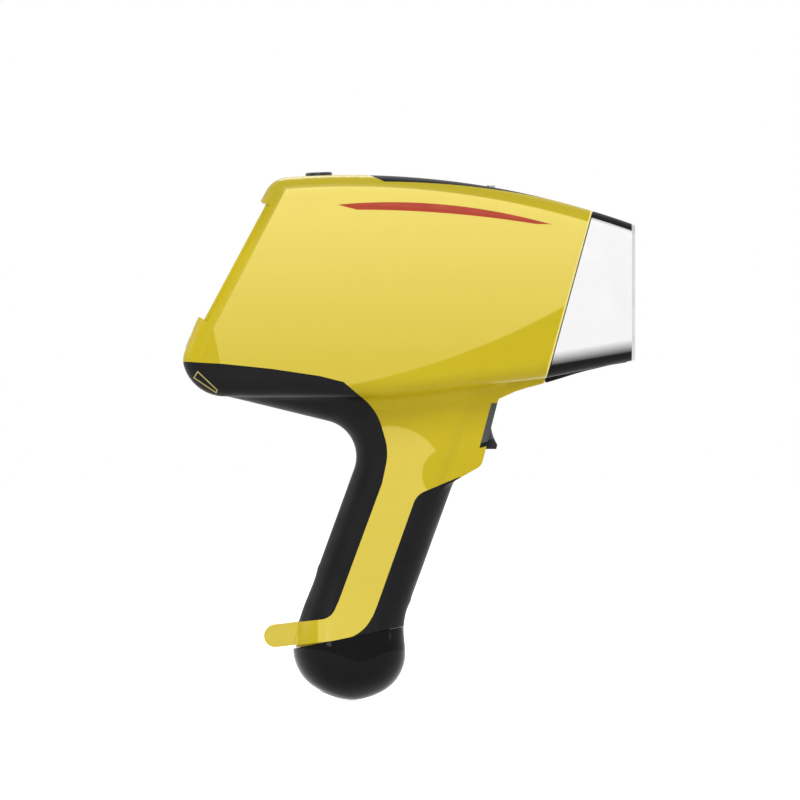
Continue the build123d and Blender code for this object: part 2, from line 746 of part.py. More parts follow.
def lug_form(grow=0.0):
    """Strap lug: a flattened bar with a round end, rooted in the grip."""
    tip = Vector(*LUG_TIP)
    root = Vector(*LUG_ROOT)
    run = (root - tip).normalized()
    up = Vector(-run.Y, run.X) * (LUG_RADIUS + grow)
    end = tip - run * (LUG_RADIUS + grow)
    stop = root + run * grow
    face = make_face([
        *ThreePointArc(flat(tip + up), flat(end), flat(tip - up)).edges(),
        *Polyline(flat(tip - up), flat(stop - up), flat(stop + up),
                  flat(tip + up)).edges(),
    ])
    return slab(face, LUG_WIDTH / 2 + grow)


def make_lug_and_cap():
    lug = lug_form() - post(EYELET_RADIUS, LUG_TIP[0], 0, LUG_TIP[1] - 20, LUG_TIP[1] + 20)
    PARTS["strap_lug"] = one(lug) - battery_well()
    cap = one(OUTER & below_parting())
    PARTS["battery_cap"] = cap
    pack = grip_prism(BATTERY_DEPTH, BATTERY_WIDTH, BATTERY_CORNER, BATTERY_TOP, 80.0)
    PARTS["battery_pack"] = one(pack - below_parting())
    top = BATTERY_TOP - RUNNING_GAP
    frame = grip_prism(
        BATTERY_DEPTH + 2 * RUNNING_GAP - 0.2, BATTERY_WIDTH + 2 * RUNNING_GAP - 0.2,
        BATTERY_CORNER + RUNNING_GAP - 0.1, top - CONTACT_BLOCK, top,
    )
    for t in (-9.0, -3.0, 3.0, 9.0):
        frame = frame + Pos(*shift_grip(0, t)) * grip_prism(1.6, 7.0, 0.5, top - CONTACT_BLOCK - 4.0, top - 2.0)
    PARTS["battery_contacts"] = one(frame)


def shift_grip(s, t):
    """Step in space of s down the grip axis and t to the front."""
    here = along_grip(s, t)
    return (here[0] - GRIP_POINT[0], 0, here[1] - GRIP_POINT[1])


def make_trigger():
    pivot_x, pivot_z = TRIGGER_PIVOT
    tip_x, tip_z = TRIGGER_TIP
    top_front = (pivot_x + 8.4, pivot_z + 1.4)
    waist = (tip_x - 3.6, (pivot_z + tip_z) / 2)
    lip_foot = (tip_x - 0.6, tip_z - TRIGGER_LIP)
    heel = (pivot_x - 5.5, tip_z - TRIGGER_LIP)
    back_low = (pivot_x - 6.5, tip_z + 8.0)
    back_high = (pivot_x - TRIGGER_HUB_RADIUS, pivot_z)
    hub_top = (pivot_x, pivot_z + TRIGGER_HUB_RADIUS)
    finger = ThreePointArc(top_front, waist, TRIGGER_TIP)
    rest = Polyline(TRIGGER_TIP, lip_foot, heel, back_low, back_high)
    crown = ThreePointArc(back_high, (pivot_x - TRIGGER_HUB_RADIUS * 0.7071, pivot_z + TRIGGER_HUB_RADIUS * 0.7071), hub_top)
    lid = Polyline(hub_top, top_front)
    face = make_face([*finger.edges(), *rest.edges(), *crown.edges(), *lid.edges()])
    body = one(slab(face, TRIGGER_WIDTH / 2))
    sides = [e for e in body.edges() if e.geom_type == GeomType.CIRCLE and e.center().X > pivot_x]
    body = body.fillet(2.0, sides)
    body = body - cross_bar(TRIGGER_PIN_RADIUS + 0.05, pivot_x, pivot_z, -20, 20)
    spring_nest = Pos(pivot_x - 7.6, 0, SPRING_Z) * Rot(0, 90, 0) * Cylinder(SPRING_RADIUS + 0.7, 6.0)
    PARTS["trigger"] = one(body - spring_nest)
    PARTS["trigger_pin"] = cross_bar(TRIGGER_PIN_RADIUS, pivot_x, pivot_z, -11.9, 11.9)
    start = pivot_x - 4.6
    end = pivot_x - 13.0
    coils = Helix(pitch=1.6, height=start - end - 2 * SPRING_WIRE - 0.2, radius=SPRING_RADIUS - SPRING_WIRE)
    wire = sweep(Plane(coils @ 0, z_dir=coils % 0) * Circle(SPRING_WIRE), path=coils)
    PARTS["trigger_spring"] = Pos(start - SPRING_WIRE - 0.1, 0, SPRING_Z) * Rot(0, -90, 0) * wire
    switch_front = pivot_x - 13.0
    PARTS["trigger_switch"] = block(switch_front, switch_front + 3.2, -5.0, 5.0, tip_z - 2.0, tip_z + 3.2)


def make_screen():
    tub_height = BEZEL_HEIGHT - 2 * TUB_MARGIN
    tub_width = BEZEL_WIDTH - 2 * TUB_MARGIN
    near = SCREEN_SET_BACK
    rim = rear_centred(BEZEL_HEIGHT, BEZEL_WIDTH, near, near + BEZEL_PLATE, BEZEL_CORNER)
    tub = rear_centred(tub_height, tub_width, near, near + TUB_DEPTH, BEZEL_CORNER - 1)
    hollow = rear_centred(
        tub_height - 2 * TUB_WALL, tub_width - 2 * TUB_WALL, near + 2 * BEZEL_PLATE, near + 20, 1.6,
    )
    glass_seat = rear_centred(GLASS_HEIGHT, GLASS_WIDTH, near - 1, near + BEZEL_PLATE, 1.6)
    window = rear_centred(WINDOW_ACTIVE_HEIGHT, WINDOW_ACTIVE_WIDTH, near - 1, near + 5, 0.6)
    PARTS["display_bezel"] = one(rim + tub - hollow - glass_seat - window)
    PARTS["display_glass"] = one(rear_centred(
        GLASS_HEIGHT - 0.3, GLASS_WIDTH - 0.3, near, near + BEZEL_PLATE, 1.45,
    ))
    gasket = rear_centred(BEZEL_HEIGHT - 0.6, BEZEL_WIDTH - 0.6, near + BEZEL_PLATE, CHANNEL_DEPTH, BEZEL_CORNER)
    gasket = gasket - rear_centred(tub_height + 0.4, tub_width + 0.4, near, near + 5, BEZEL_CORNER - 0.8)
    PARTS["display_gasket"] = one(gasket)
    lcd_front = near + 2 * BEZEL_PLATE
    PARTS["lcd_module"] = one(rear_centred(
        tub_height - 2 * TUB_WALL - 0.4, tub_width - 2 * TUB_WALL - 0.4, lcd_front, lcd_front + LCD_THICKNESS, 1.4,
    ))
    board = rear_centred(tub_height, tub_width, near + TUB_DEPTH, near + TUB_DEPTH + BOARD, 1.0)
    chips = rear_centred(12.0, 12.0, near + TUB_DEPTH + BOARD, near + TUB_DEPTH + BOARD + 1.4)
    plug = rear_centred(5.0, 22.0, near + TUB_DEPTH + BOARD, near + TUB_DEPTH + BOARD + 2.4)
    shift = rear_frame().z_dir.cross(Vector(0, 1, 0)) * -24.0
    PARTS["display_board"] = one(board + chips + Pos(*shift) * plug)


def make_keys():
    for place, name in ((-1, "key_left"), (0, "key_centre"), (1, "key_right")):
        cap = extrude(lip_frame(WALL) * key_outline(-place), WALL + KEY_PROUD)
        top = cap.faces().sort_by(Axis((0, 0, 0), lip_frame().z_dir))[-1]
        cap = fillet(top.edges(), 0.6)
        flange = Pos(-place * KEY_PITCH, 0) * RectangleRounded(KEY_WIDTH + 2.2, KEY_HEIGHT + 2.2, KEY_CORNER)
        cap = cap + extrude(lip_frame(WALL + KEY_FLANGE) * flange, KEY_FLANGE - 0.1)
        cap = cap + extrude(lip_frame(WALL + KEY_FLANGE) * key_outline(-place), KEY_FLANGE)
        PARTS[name] = one(cap)
    depth = WALL + KEY_FLANGE + KEY_TRAVEL + 0.8
    board = extrude(lip_frame(depth + BOARD) * Rectangle(2 * (KEY_PITCH + 14.0), KEY_HEIGHT + 4.0), BOARD)
    for place in (-1, 0, 1):
        board = board + extrude(lip_frame(depth) * Pos(place * KEY_PITCH, 0) * Circle(2.4), 0.6)
    PARTS["key_board"] = one(board)


def on_roof(shape):
    """Places a shape made about the origin on the roof at the power button, square to the arc."""
    lean = asin((BUTTON_X - ROOF_APEX[0]) / ROOF_RADIUS)
    return Pos(BUTTON_X, 0, roof_z(BUTTON_X)) * Rot(0, degrees(lean), 0) * shape


def make_power_button():
    under = -WALL - BUTTON_FLANGE_GAP
    cap = post(BUTTON_RADIUS, 0, 0, under, BUTTON_PROUD)
    rim = cap.edges().sort_by(Axis.Z)[-1]
    cap = fillet(rim, 1.1)
    flange = post(BUTTON_RADIUS + 1.4, 0, 0, under - BUTTON_FLANGE, under)
    top = -SWITCH_BOARD_DROP
    stem = post(2.0, 0, 0, top + SWITCH_HEIGHT + BUTTON_TRAVEL + 0.2, under)
    PARTS["power_button"] = one(on_roof(cap + flange + stem))
    board = block(-11, 11, -SWITCH_POST_Y - 3, SWITCH_POST_Y + 3, top - BOARD, top)
    switch = block(-3, 3, -3, 3, top, top + SWITCH_HEIGHT - 0.8) + post(1.6, 0, 0, top, top + SWITCH_HEIGHT)
    PARTS["power_switch"] = one(on_roof(board + switch))


def make_heat_sink():
    sink = one(OUTER & strip_zone(pull_in=SEAM))
    boss = block(SINK_BOSS[0], SINK_BOSS[1], -SINK_BOSS_WIDTH / 2, SINK_BOSS_WIDTH / 2, SINK_BOSS_FOOT, 80)
    boss = boss - strip_zone(drop=-0.3)
    sink = one(sink + (boss & head(SEAM)))
    grooves = strip_zone(share=FIN_ROOT_SHARE, pull_in=2.0)
    for number in range(FIN_GROOVES):
        y = (number - (FIN_GROOVES - 1) / 2) * FIN_PITCH
        sink = sink - (grooves & block(-200, 0, y - FIN_GROOVE / 2, y + FIN_GROOVE / 2, 40, 90))
    screws = []
    for x in SINK_SCREW_X:
        for y in (-SINK_SCREW_Y, SINK_SCREW_Y):
            seat = strip_floor(x) + 0.8
            sink = sink - post(SINK_SCREW_HEAD + 0.2, x, y, seat, 90) - post(1.3, x, y, 40, 90)
            screw = post(SINK_SCREW_HEAD, x, y, seat, seat + 1.2) + post(1.2, x, y, seat - 3.2, seat)
            screws.append(screw)
            for side in ("right_housing", "left_housing"):
                PARTS[side] = one(PARTS[side] - post(1.22, x, y, seat - 6.0, 90))
    PARTS["heat_sink"] = one(sink)
    PARTS["heat_sink_screws"] = Compound(children=[one(screw) for screw in screws])
    PARTS["heat_sink_pad"] = block(
        SINK_BOSS[0] + 1, SINK_BOSS[1] - 1, -SINK_BOSS_WIDTH / 2 + 1, SINK_BOSS_WIDTH / 2 - 1,
        SINK_BOSS_FOOT - SINK_PAD, SINK_BOSS_FOOT,
    )


def make_nose():
    outer = OUTER & ahead_of_nose_line(NOSE_SEAM)
    plate_zone = block(-NOSE_PLATE, 10, -60, 60, -80, 80)
    plate = one(outer & plate_zone)
    window = RectangleRounded(WINDOW_WIDTH, WINDOW_HEIGHT, 4.0)
    across = Plane(origin=(WINDOW_POINT[0], 0, 0), x_dir=(0, 1, 0), z_dir=(1, 0, 0))
    opening = extrude(across * window, 20.0, both=True)
    core = outer - block(-NOSE_PLATE, 10, -60, 60, -80, 80)
    inner = head(WALL) & block(-100, -NOSE_PLATE - NOSE_FRONT_WALL, -60, 60, -80, 80)
    spigot_zone = ahead_of_nose_line(-SPIGOT_LENGTH) - ahead_of_nose_line(NOSE_SEAM + 1.0)
    spigot = (head(WALL + 0.2) - head(WALL + 0.2 + SPIGOT_WALL)) & spigot_zone
    band = ThreePointArc(
        (-80, roof_z(-80) - NOSE_ROOF_BAND), (-30, roof_z(-30) - NOSE_ROOF_BAND), (6, roof_z(6) - NOSE_ROOF_BAND),
    )
    chin = Polyline((6, roof_z(6) - NOSE_ROOF_BAND), (6, CHIN_BAND[-1][1] + 1.2), *reversed(CHIN_BAND), (-80, -45.0), (-80, roof_z(-80) - NOSE_ROOF_BAND))
    cheek_zone = slab(make_face([*band.edges(), *chin.edges()]), 60.0)
    cheeks = ((core - head(CHEEK_DEPTH)) & cheek_zone).solids()
    for cheek in cheeks:
        core = core - cheek
    core = core - inner - opening
    core = one(core)
    core = one(core + spigot)
    PARTS["nose_right_cheek"] = min(cheeks, key=lambda solid: solid.center().Y)
    PARTS["nose_left_cheek"] = max(cheeks, key=lambda solid: solid.center().Y)
    retainer_outline = RectangleRounded(WINDOW_WIDTH + 8.0, WINDOW_HEIGHT + 8.0, 6.0)
    seat = extrude(across * retainer_outline, 1.0)
    seat = Pos(-WINDOW_POINT[0] - 1.0, 0, 0) * seat
    PARTS["nose_plate"] = one(plate - opening - (Pos(0.6, 0, 0) * seat) - seat)
    PARTS["window_retainer"] = one((Pos(-0.0, 0, 0) * seat) - opening)
    film = extrude(Plane(origin=(-NOSE_PLATE, 0, 0), x_dir=(0, 1, 0), z_dir=(1, 0, 0)) * RectangleRounded(WINDOW_WIDTH + 4, WINDOW_HEIGHT + 4, 5.0), 0.2)
    PARTS["nose_plate"] = one(PARTS["nose_plate"] - film)
    PARTS["window_film"] = one(film)
    gasket = (head(1.2) - head(WALL - 0.2)) & (ahead_of_nose_line() - ahead_of_nose_line(NOSE_SEAM))
    PARTS["nose_gasket"] = one(gasket)
    screws = []
    for y, z in NOSE_SCREW_PLACES:
        frame = Plane(origin=(0, y, z), x_dir=(0, 1, 0), z_dir=(-1, 0, 0))
        head_seat = extrude(frame * Circle(NOSE_SCREW_HEAD + 0.1), 1.2)
        PARTS["nose_plate"] = one(PARTS["nose_plate"] - head_seat - extrude(frame * Circle(1.25), 4.0))
        core = one(core - extrude(frame * Circle(1.22), 4.6))
        screws.append(one(extrude(frame * Circle(NOSE_SCREW_HEAD), 1.2) + extrude(frame * Circle(1.2), 4.4)))
    PARTS["nose_screws"] = Compound(children=screws)
    PARTS["nose_core"] = core


def gear(teeth, thickness, bore):
    """Spur gear on the XY plane, its teeth with straight flanks."""
    pitch = GEAR_MODULE * teeth / 2
    tip = pitch + GEAR_MODULE * 0.85
    root = pitch - GEAR_MODULE * 1.1
    body = Circle(root)
    step = 2 * pi / teeth
    half_root = step * 0.29 * pitch / 1.0
    half_tip = step * 0.13 * pitch / 1.0
    tooth = make_face(Polyline((root - 0.4, -half_root), (tip, -half_tip), (tip, half_tip), (root - 0.4, half_root), close=True))
    for number in range(teeth):
        body = body + Rot(0, 0, 360 * number / teeth) * tooth
    return extrude(body - Circle(bore), thickness)


def make_measuring_parts():
    front = -NOSE_PLATE - NOSE_FRONT_WALL
    outline = [
        (front, -17.0), (front, 14.0),
        side_point(beam(20, 14)), side_point(beam(FRAME_BACK, 14)), side_point(beam(FRAME_BACK, -16)),
        side_point(beam(26, 9, tilt=DETECTOR_TILT)), side_point(beam(26, -10, tilt=DETECTOR_TILT)),
    ]
    frame = one(zone(*outline, half_width=19.0))
    ear_x, ear_y = WHEEL_OFFSET + (pinion_reach() * 0.3), pinion_reach() * 0.954
    ear = rod(6.4, 32.6, FRAME_BACK, ear_x, ear_y)
    bridge = extrude(beam_plane(32.6, ear_x - 5.0, ear_y - 6.0) * Rectangle(14.0, 14.0), FRAME_BACK - 32.6)
    frame = one(frame + ear + bridge)
    slot = extrude(beam_plane(27.4, 12.0, 0) * Rectangle(60.0, 41.0), 5.0)
    frame = frame - slot
    frame = frame - (Pos(WINDOW_POINT[0], 0, WINDOW_POINT[1]) * Sphere(9.5))
    frame = frame - rod(4.02, 5.0, 27.6) - rod(6.2, 32.0, 45.0)
    frame = frame - rod(7.2, 5.0, 40.0, tilt=DETECTOR_TILT)
    frame = frame - rod(AXLE_RADIUS + 0.02, 24.0, 36.5, WHEEL_OFFSET)
    frame = frame - rod(1.4, 30.0, FRAME_BACK + 2.0, ear_x, ear_y)
    PARTS["measuring_frame"] = one(frame)
    PARTS["collimator"] = one(rod(4.0, 9.5, 27.2) - rod(1.6, 5.0, 30.0))
    tube = rod(6.0, 33.5, 39.0) + rod(11.0, 38.2, 72.0) + rod(7.5, 72.0, 84.0)
    PARTS["xray_tube"] = one(tube)
    shield = rod(12.6, 38.0, 78.0) - rod(11.1, 37.0, 73.0) - rod(7.6, 70.0, 80.0)
    PARTS["tube_shield"] = one(shield)
    boot = rod(6.0, 84.0, 110.0) - block(-200, HV_FRONT, -60, 60, -80, 80)
    PARTS["tube_boot"] = one(boot)
    supply = block(HV_REAR, HV_FRONT, -23.0, 23.0, HV_FOOT, SINK_BOSS_FOOT - SINK_PAD)
    edges = [e for e in supply.edges() if abs(e.tangent_at(0.5).Z) > 0.9]
    PARTS["high_voltage_supply"] = one(fillet(edges, 2.0))
    can = rod(7.0, 10.0, 22.0, tilt=DETECTOR_TILT) + rod(8.2, 26.0, 29.0, tilt=DETECTOR_TILT)
    can = can + rod(7.0, 21.0, 27.0, tilt=DETECTOR_TILT)
    PARTS["detector"] = one(can)
    bracket = extrude(beam_plane(29.0, 0, 0, DETECTOR_TILT) * Rectangle(30.0, 20.0), 2.0)
    bracket = bracket + extrude(beam_plane(26.0, 0, -13.0, DETECTOR_TILT) * Rectangle(3.0, 17.0), 3.0)
    bracket = bracket + extrude(beam_plane(26.0, 0, 13.0, DETECTOR_TILT) * Rectangle(3.0, 17.0), 3.0)
    PARTS["detector_bracket"] = one(bracket)
    board = extrude(beam_plane(31.0, 0, 0, DETECTOR_TILT) * Rectangle(28.0, 20.0), BOARD)
    board = board + extrude(beam_plane(31.0 + BOARD, 2.0, 0, DETECTOR_TILT) * Rectangle(8.0, 8.0), 1.4)
    PARTS["preamp_board"] = one(board)
    wheel_plane = beam_plane(WHEEL_STATION, WHEEL_OFFSET)
    wheel = gear(WHEEL_TEETH, WHEEL_THICKNESS, AXLE_RADIUS + 0.05)
    filters = []
    for number in range(FILTERS):
        spot = Rot(0, 0, 90 + 360 * number / FILTERS) * Pos(WHEEL_OFFSET, 0)
        wheel = wheel - extrude(spot * Circle(FILTER_RADIUS), WHEEL_THICKNESS)
        if number:
            filters.append(wheel_plane.location * extrude(spot * Circle(FILTER_RADIUS), 0.8))
    PARTS["filter_wheel"] = one(wheel_plane.location * wheel)
    PARTS["filters"] = Compound(children=[one(piece) for piece in filters])
    PARTS["wheel_axle"] = rod(AXLE_RADIUS, 24.2, 36.2, WHEEL_OFFSET)
    pinion_plane = beam_plane(WHEEL_STATION - 0.2, ear_x, ear_y)
    tooth_phase = gear_phase()
    pinion = Rot(0, 0, tooth_phase) * gear(PINION_TEETH, WHEEL_THICKNESS + 0.4, 0.8)
    PARTS["motor_pinion"] = one(pinion_plane.location * pinion + rod(0.8, WHEEL_STATION - 0.2, FRAME_BACK + 2.0, ear_x, ear_y))
    PARTS["wheel_motor"] = one(rod(5.0, FRAME_BACK, FRAME_BACK + 15.0, ear_x, ear_y) - rod(0.85, 35.0, 41.0, ear_x, ear_y))


def side_point(vector):
    return (vector.X, vector.Z)


def pinion_reach():
    return GEAR_MODULE * (WHEEL_TEETH + PINION_TEETH) / 2


def gear_phase():
    """Turn that puts a gap of the pinion opposite a tooth of the wheel."""
    line = -degrees(atan2(0.3, 0.954))
    wheel_step = 360 / WHEEL_TEETH
    wheel_miss = (line / wheel_step - round(line / wheel_step)) * wheel_step
    pinion_step = 360 / PINION_TEETH
    facing = line + 180 + pinion_step / 2
    return facing + wheel_miss * WHEEL_TEETH / PINION_TEETH


def make_inside():
    plate = block(CHASSIS_REAR, CHASSIS_FRONT, -CHASSIS_HALF_WIDTH, CHASSIS_HALF_WIDTH, CHASSIS_Z, CHASSIS_Z + CHASSIS_PLATE)
    for x in (-203.0, -137.0, -123.0, -72.0):
        for y in (-20.0, 20.0):
            plate = plate + post(2.4, x, y, CHASSIS_Z, BOARD_Z)
    for x in (HV_REAR + 3.0, HV_FRONT - 3.0):
        for y in (-25.5, 25.5):
            plate = plate + block(x - 3, x + 3, min(y, y * 0.88), max(y, y * 0.88), CHASSIS_Z, HV_FOOT)
        plate = plate + block(x - 3, x + 3, -25.5, 25.5, HV_FOOT - 2.0, HV_FOOT)
    for x, z in HOUSING_SCREWS:
        plate = plate - cross_bar(BOSS_RADIUS + 0.4, x, z, -60, 60)
    plate = plate - block(-200, -120, -8, 8, CHASSIS_Z - 1, CHASSIS_Z + CHASSIS_PLATE + 1)
    PARTS["chassis"] = one(plate)
    main = block(-207.0, -133.0, -BOARD_HALF_WIDTH, BOARD_HALF_WIDTH, BOARD_Z, BOARD_Z + BOARD)
    for x, y, size, height in ((-190, 8, 14, 1.6), (-168, -6, 18, 2.0), (-146, 10, 10, 1.4), (-188, -15, 9, 3.0)):
        main = main + block(x - size / 2, x + size / 2, y - size / 2, y + size / 2, BOARD_Z, BOARD_Z + BOARD + height)
    PARTS["main_board"] = one(main)
    pulse = block(-127.0, -68.0, -BOARD_HALF_WIDTH, BOARD_HALF_WIDTH, BOARD_Z, BOARD_Z + BOARD)
    pulse = pulse + block(-116, -96, -12, 12, BOARD_Z, BOARD_Z + BOARD + 4.5)
    pulse = pulse + block(-88, -76, -8, 8, BOARD_Z, BOARD_Z + BOARD + 2.0)
    PARTS["pulse_processor_board"] = one(pulse)


def make_port_cover():
    pin_x, pin_z = COVER_PIN
    reach = BAY_HALF_WIDTH - 2
    skin = OUTER - head(COVER_DEPTH)
    door = one(skin & cover_sector(trim=COVER_SEAL + SEAM))
    PARTS["port_cover"] = one(door + cross_bar(COVER_KNUCKLE, pin_x, pin_z, -reach, reach))
    groove = cross_bar(COVER_KNUCKLE + SEAM, pin_x, pin_z, -reach - SEAM, reach + SEAM)
    # the seal runs along the top and both sides; the swing of the door's lower edge stays free
    seal = one(skin & (cover_sector() - cover_sector(trim=COVER_SEAL)))
    swing = cross_bar(COVER_SWING, pin_x, pin_z, -COVER_HALF_WIDTH - 1, COVER_HALF_WIDTH + 1)
    PARTS["port_seal"] = one(seal - swing)
    for name in ("right_housing", "left_housing", "back_grip"):
        PARTS[name] = one(PARTS[name] - groove)
    front_depth = COVER_DEPTH + 6.0
    body = bay(grow=-0.2, from_depth=front_depth, to_depth=COVER_DEPTH + BAY_DEPTH)
    for y, width in ((-14.0, 12.0), (8.0, 16.0)):
        socket = bay_frame(HEEL_RADIUS - front_depth) * Pos(y, 0) * RectangleRounded(width, 5.0, 1.0)
        body = body - extrude(socket, 2.6, both=True)
    PARTS["port_block"] = one(body)


def make_screws():
    screws = []
    for x, z in HOUSING_SCREWS:
        seat = screw_seat(x, z)
        shank = cross_bar(SCREW_RADIUS, x, z, -9.5, seat)
        cap = cross_bar(SCREW_HEAD_RADIUS, x, z, seat, seat + SCREW_HEAD)
        screws.append(one(shank + cap))
    PARTS["housing_screws"] = Compound(children=screws)


make_housing()
make_lug_and_cap()
make_trigger()
make_screen()
make_keys()
make_power_button()
make_heat_sink()
make_nose()
make_measuring_parts()
make_inside()
make_port_cover()
make_screws()

os.makedirs("parts", exist_ok=True)
for name, shape in PARTS.items():
    export_step(shape, f"parts/{name}.step")
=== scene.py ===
"""Looks of a handheld X-ray fluorescence analyzer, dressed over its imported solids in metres."""

from math import radians

import bmesh
import bpy
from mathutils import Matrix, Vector


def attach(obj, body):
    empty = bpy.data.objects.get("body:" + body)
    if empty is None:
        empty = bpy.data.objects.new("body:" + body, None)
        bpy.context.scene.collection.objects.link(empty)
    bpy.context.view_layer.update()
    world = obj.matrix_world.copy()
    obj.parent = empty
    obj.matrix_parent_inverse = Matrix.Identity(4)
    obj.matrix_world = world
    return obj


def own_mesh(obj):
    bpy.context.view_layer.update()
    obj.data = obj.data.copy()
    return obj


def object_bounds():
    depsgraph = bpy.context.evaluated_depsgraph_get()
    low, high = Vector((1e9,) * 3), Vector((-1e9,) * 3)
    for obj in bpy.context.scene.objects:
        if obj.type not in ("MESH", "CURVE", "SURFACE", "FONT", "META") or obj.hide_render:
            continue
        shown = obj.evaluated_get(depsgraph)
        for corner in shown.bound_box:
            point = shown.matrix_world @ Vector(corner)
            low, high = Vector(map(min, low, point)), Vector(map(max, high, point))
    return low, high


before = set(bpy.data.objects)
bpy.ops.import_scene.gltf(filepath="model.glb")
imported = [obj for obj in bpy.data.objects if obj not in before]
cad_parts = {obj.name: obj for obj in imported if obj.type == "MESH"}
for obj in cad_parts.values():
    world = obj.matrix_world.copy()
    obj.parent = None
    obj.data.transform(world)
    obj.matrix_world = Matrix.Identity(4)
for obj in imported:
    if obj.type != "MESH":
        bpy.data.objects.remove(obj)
cad_box = [list(corner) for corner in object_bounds()]

# ---------------------------------------------------------------------------------------------
# Studio: a pale floor under the foot of the grip, a long lens square to the right-hand side and
# large soft lamps above both sides, with weaker ones beside, ahead and behind.
SIDE_VIEW_CENTRE = (-0.1287, 0.0, -0.05885)
SIDE_VIEW_WIDTH = 0.440
CAMERA_DISTANCE = 6.0
FLOOR_LEVEL = cad_box[0][2] - 0.0005

camera_data = bpy.data.cameras.new("side_camera")
camera_data.sensor_width = 36.0
camera_data.lens = camera_data.sensor_width * CAMERA_DISTANCE / SIDE_VIEW_WIDTH
camera_data.clip_end = 60.0
camera = bpy.data.objects.new("side_camera", camera_data)
camera.location = (SIDE_VIEW_CENTRE[0], -CAMERA_DISTANCE, SIDE_VIEW_CENTRE[2])
camera.rotation_euler = (radians(90), 0, 0)
bpy.context.collection.objects.link(camera)
bpy.context.scene.camera = camera
bpy.context.scene.view_settings.view_transform = "Standard"


def soft_lamp(name, place, aim, size, watts):
    """A square soft lamp that faces a point."""
    data = bpy.data.lights.new(name, "AREA")
    data.shape = "SQUARE"
    data.size = size
    data.energy = watts
    lamp = bpy.data.objects.new(name, data)
    lamp.location = place
    lamp.rotation_euler = (Vector(aim) - Vector(place)).to_track_quat("-Z", "Y").to_euler()
    bpy.context.collection.objects.link(lamp)
    return lamp


soft_lamp("lamp_above_right", (-0.4, -2.3, 2.5), SIDE_VIEW_CENTRE, 1.5, 47.0)
soft_lamp("lamp_above_left", (-0.4, 2.3, 2.5), SIDE_VIEW_CENTRE, 1.5, 40.0)
soft_lamp("lamp_beside", (-0.75, -3.0, 0.75), SIDE_VIEW_CENTRE, 0.9, 12.0)
soft_lamp("lamp_ahead", (2.6, -0.6, 1.1), SIDE_VIEW_CENTRE, 1.4, 14.0)
soft_lamp("lamp_behind", (-3.0, 0.4, 1.2), SIDE_VIEW_CENTRE, 1.4, 14.0)


def white_to_the_eye(tree, seen_strength, felt_strength):
    """Light Path switch: one strength for what is seen or mirrored, another for what lights the object."""
    path = tree.nodes.new("ShaderNodeLightPath")
    seen = path.outputs["Is Camera Ray"]
    for ray in ("Is Glossy Ray", "Is Transmission Ray"):
        either = tree.nodes.new("ShaderNodeMath")
        either.operation = "MAXIMUM"
        tree.links.new(seen, either.inputs[0])
        tree.links.new(path.outputs[ray], either.inputs[1])
        seen = either.outputs[0]
    pick = tree.nodes.new("ShaderNodeMapRange")
    pick.inputs["To Min"].default_value = felt_strength
    pick.inputs["To Max"].default_value = seen_strength
    tree.links.new(seen, pick.inputs["Value"])
    return pick.outputs["Result"]


world = bpy.data.worlds.new("pale_room")
bpy.context.scene.world = world
world.use_nodes = True
backdrop = world.node_tree.nodes["Background"]
backdrop.inputs["Color"].default_value = (1, 1, 1, 1)
world.node_tree.links.new(white_to_the_eye(world.node_tree, 1.0, 0.38), backdrop.inputs["Strength"])

bpy.ops.mesh.primitive_plane_add(size=30, location=(0, 0, FLOOR_LEVEL))
floor = bpy.context.object
floor.name = "pale_floor"
floor_finish = bpy.data.materials.new("pale_floor")
floor_finish.use_nodes = True
floor_shader = floor_finish.node_tree.nodes["Principled BSDF"]
floor_shader.inputs["Base Color"].default_value = (0.75, 0.75, 0.75, 1)
floor_shader.inputs["Roughness"].default_value = 0.9
floor_shader.inputs["Specular IOR Level"].default_value = 0.1
floor_shader.inputs["Emission Color"].default_value = (1, 1, 1, 1)
floor_finish.node_tree.links.new(
    white_to_the_eye(floor_finish.node_tree, 0.8, 0.0), floor_shader.inputs["Emission Strength"]
)
floor.data.materials.append(floor_finish)

# ---------------------------------------------------------------------------------------------
# Chassis: two-millimetre aluminium sheet, sheared and folded, with the grain of the rolling mill.
# It slides on the rails of the two housings and carries the boards.


def screen_colour(red, green, blue):
    """A colour in 8-bit screen values, as the linear colour that a shader takes."""
    return tuple(
        (v / 255 / 12.92) if v <= 10 else ((v / 255 + 0.055) / 1.055) ** 2.4 for v in (red, green, blue)
    ) + (1.0,)


def new_finish(name, colour, roughness, metallic=0.0, specular=0.5):
    finish = bpy.data.materials.new(name)
    finish.use_nodes = True
    shader = finish.node_tree.nodes["Principled BSDF"]
    shader.inputs["Base Color"].default_value = screen_colour(*colour)
    shader.inputs["Roughness"].default_value = roughness
    shader.inputs["Metallic"].default_value = metallic
    shader.inputs["Specular IOR Level"].default_value = specular
    return finish


def shader_of(finish):
    return finish.node_tree.nodes["Principled BSDF"]


def place_on(finish, stretch=(1, 1, 1)):
    """Object coordinates, stretched along the axes."""
    nodes = finish.node_tree.nodes
    where = nodes.new("ShaderNodeTexCoord")
    mapping = nodes.new("ShaderNodeMapping")
    mapping.inputs["Scale"].default_value = stretch
    finish.node_tree.links.new(where.outputs["Object"], mapping.inputs["Vector"])
    return mapping.outputs["Vector"]


def noise_on(finish, grain_size, stretch=(1, 1, 1), detail=3.0):
    """Noise whose grains are grain_size metres across."""
    noise = finish.node_tree.nodes.new("ShaderNodeTexNoise")
    noise.inputs["Scale"].default_value = 1 / grain_size
    noise.inputs["Detail"].default_value = detail
    finish.node_tree.links.new(place_on(finish, stretch), noise.inputs["Vector"])
    return noise.outputs["Fac"]


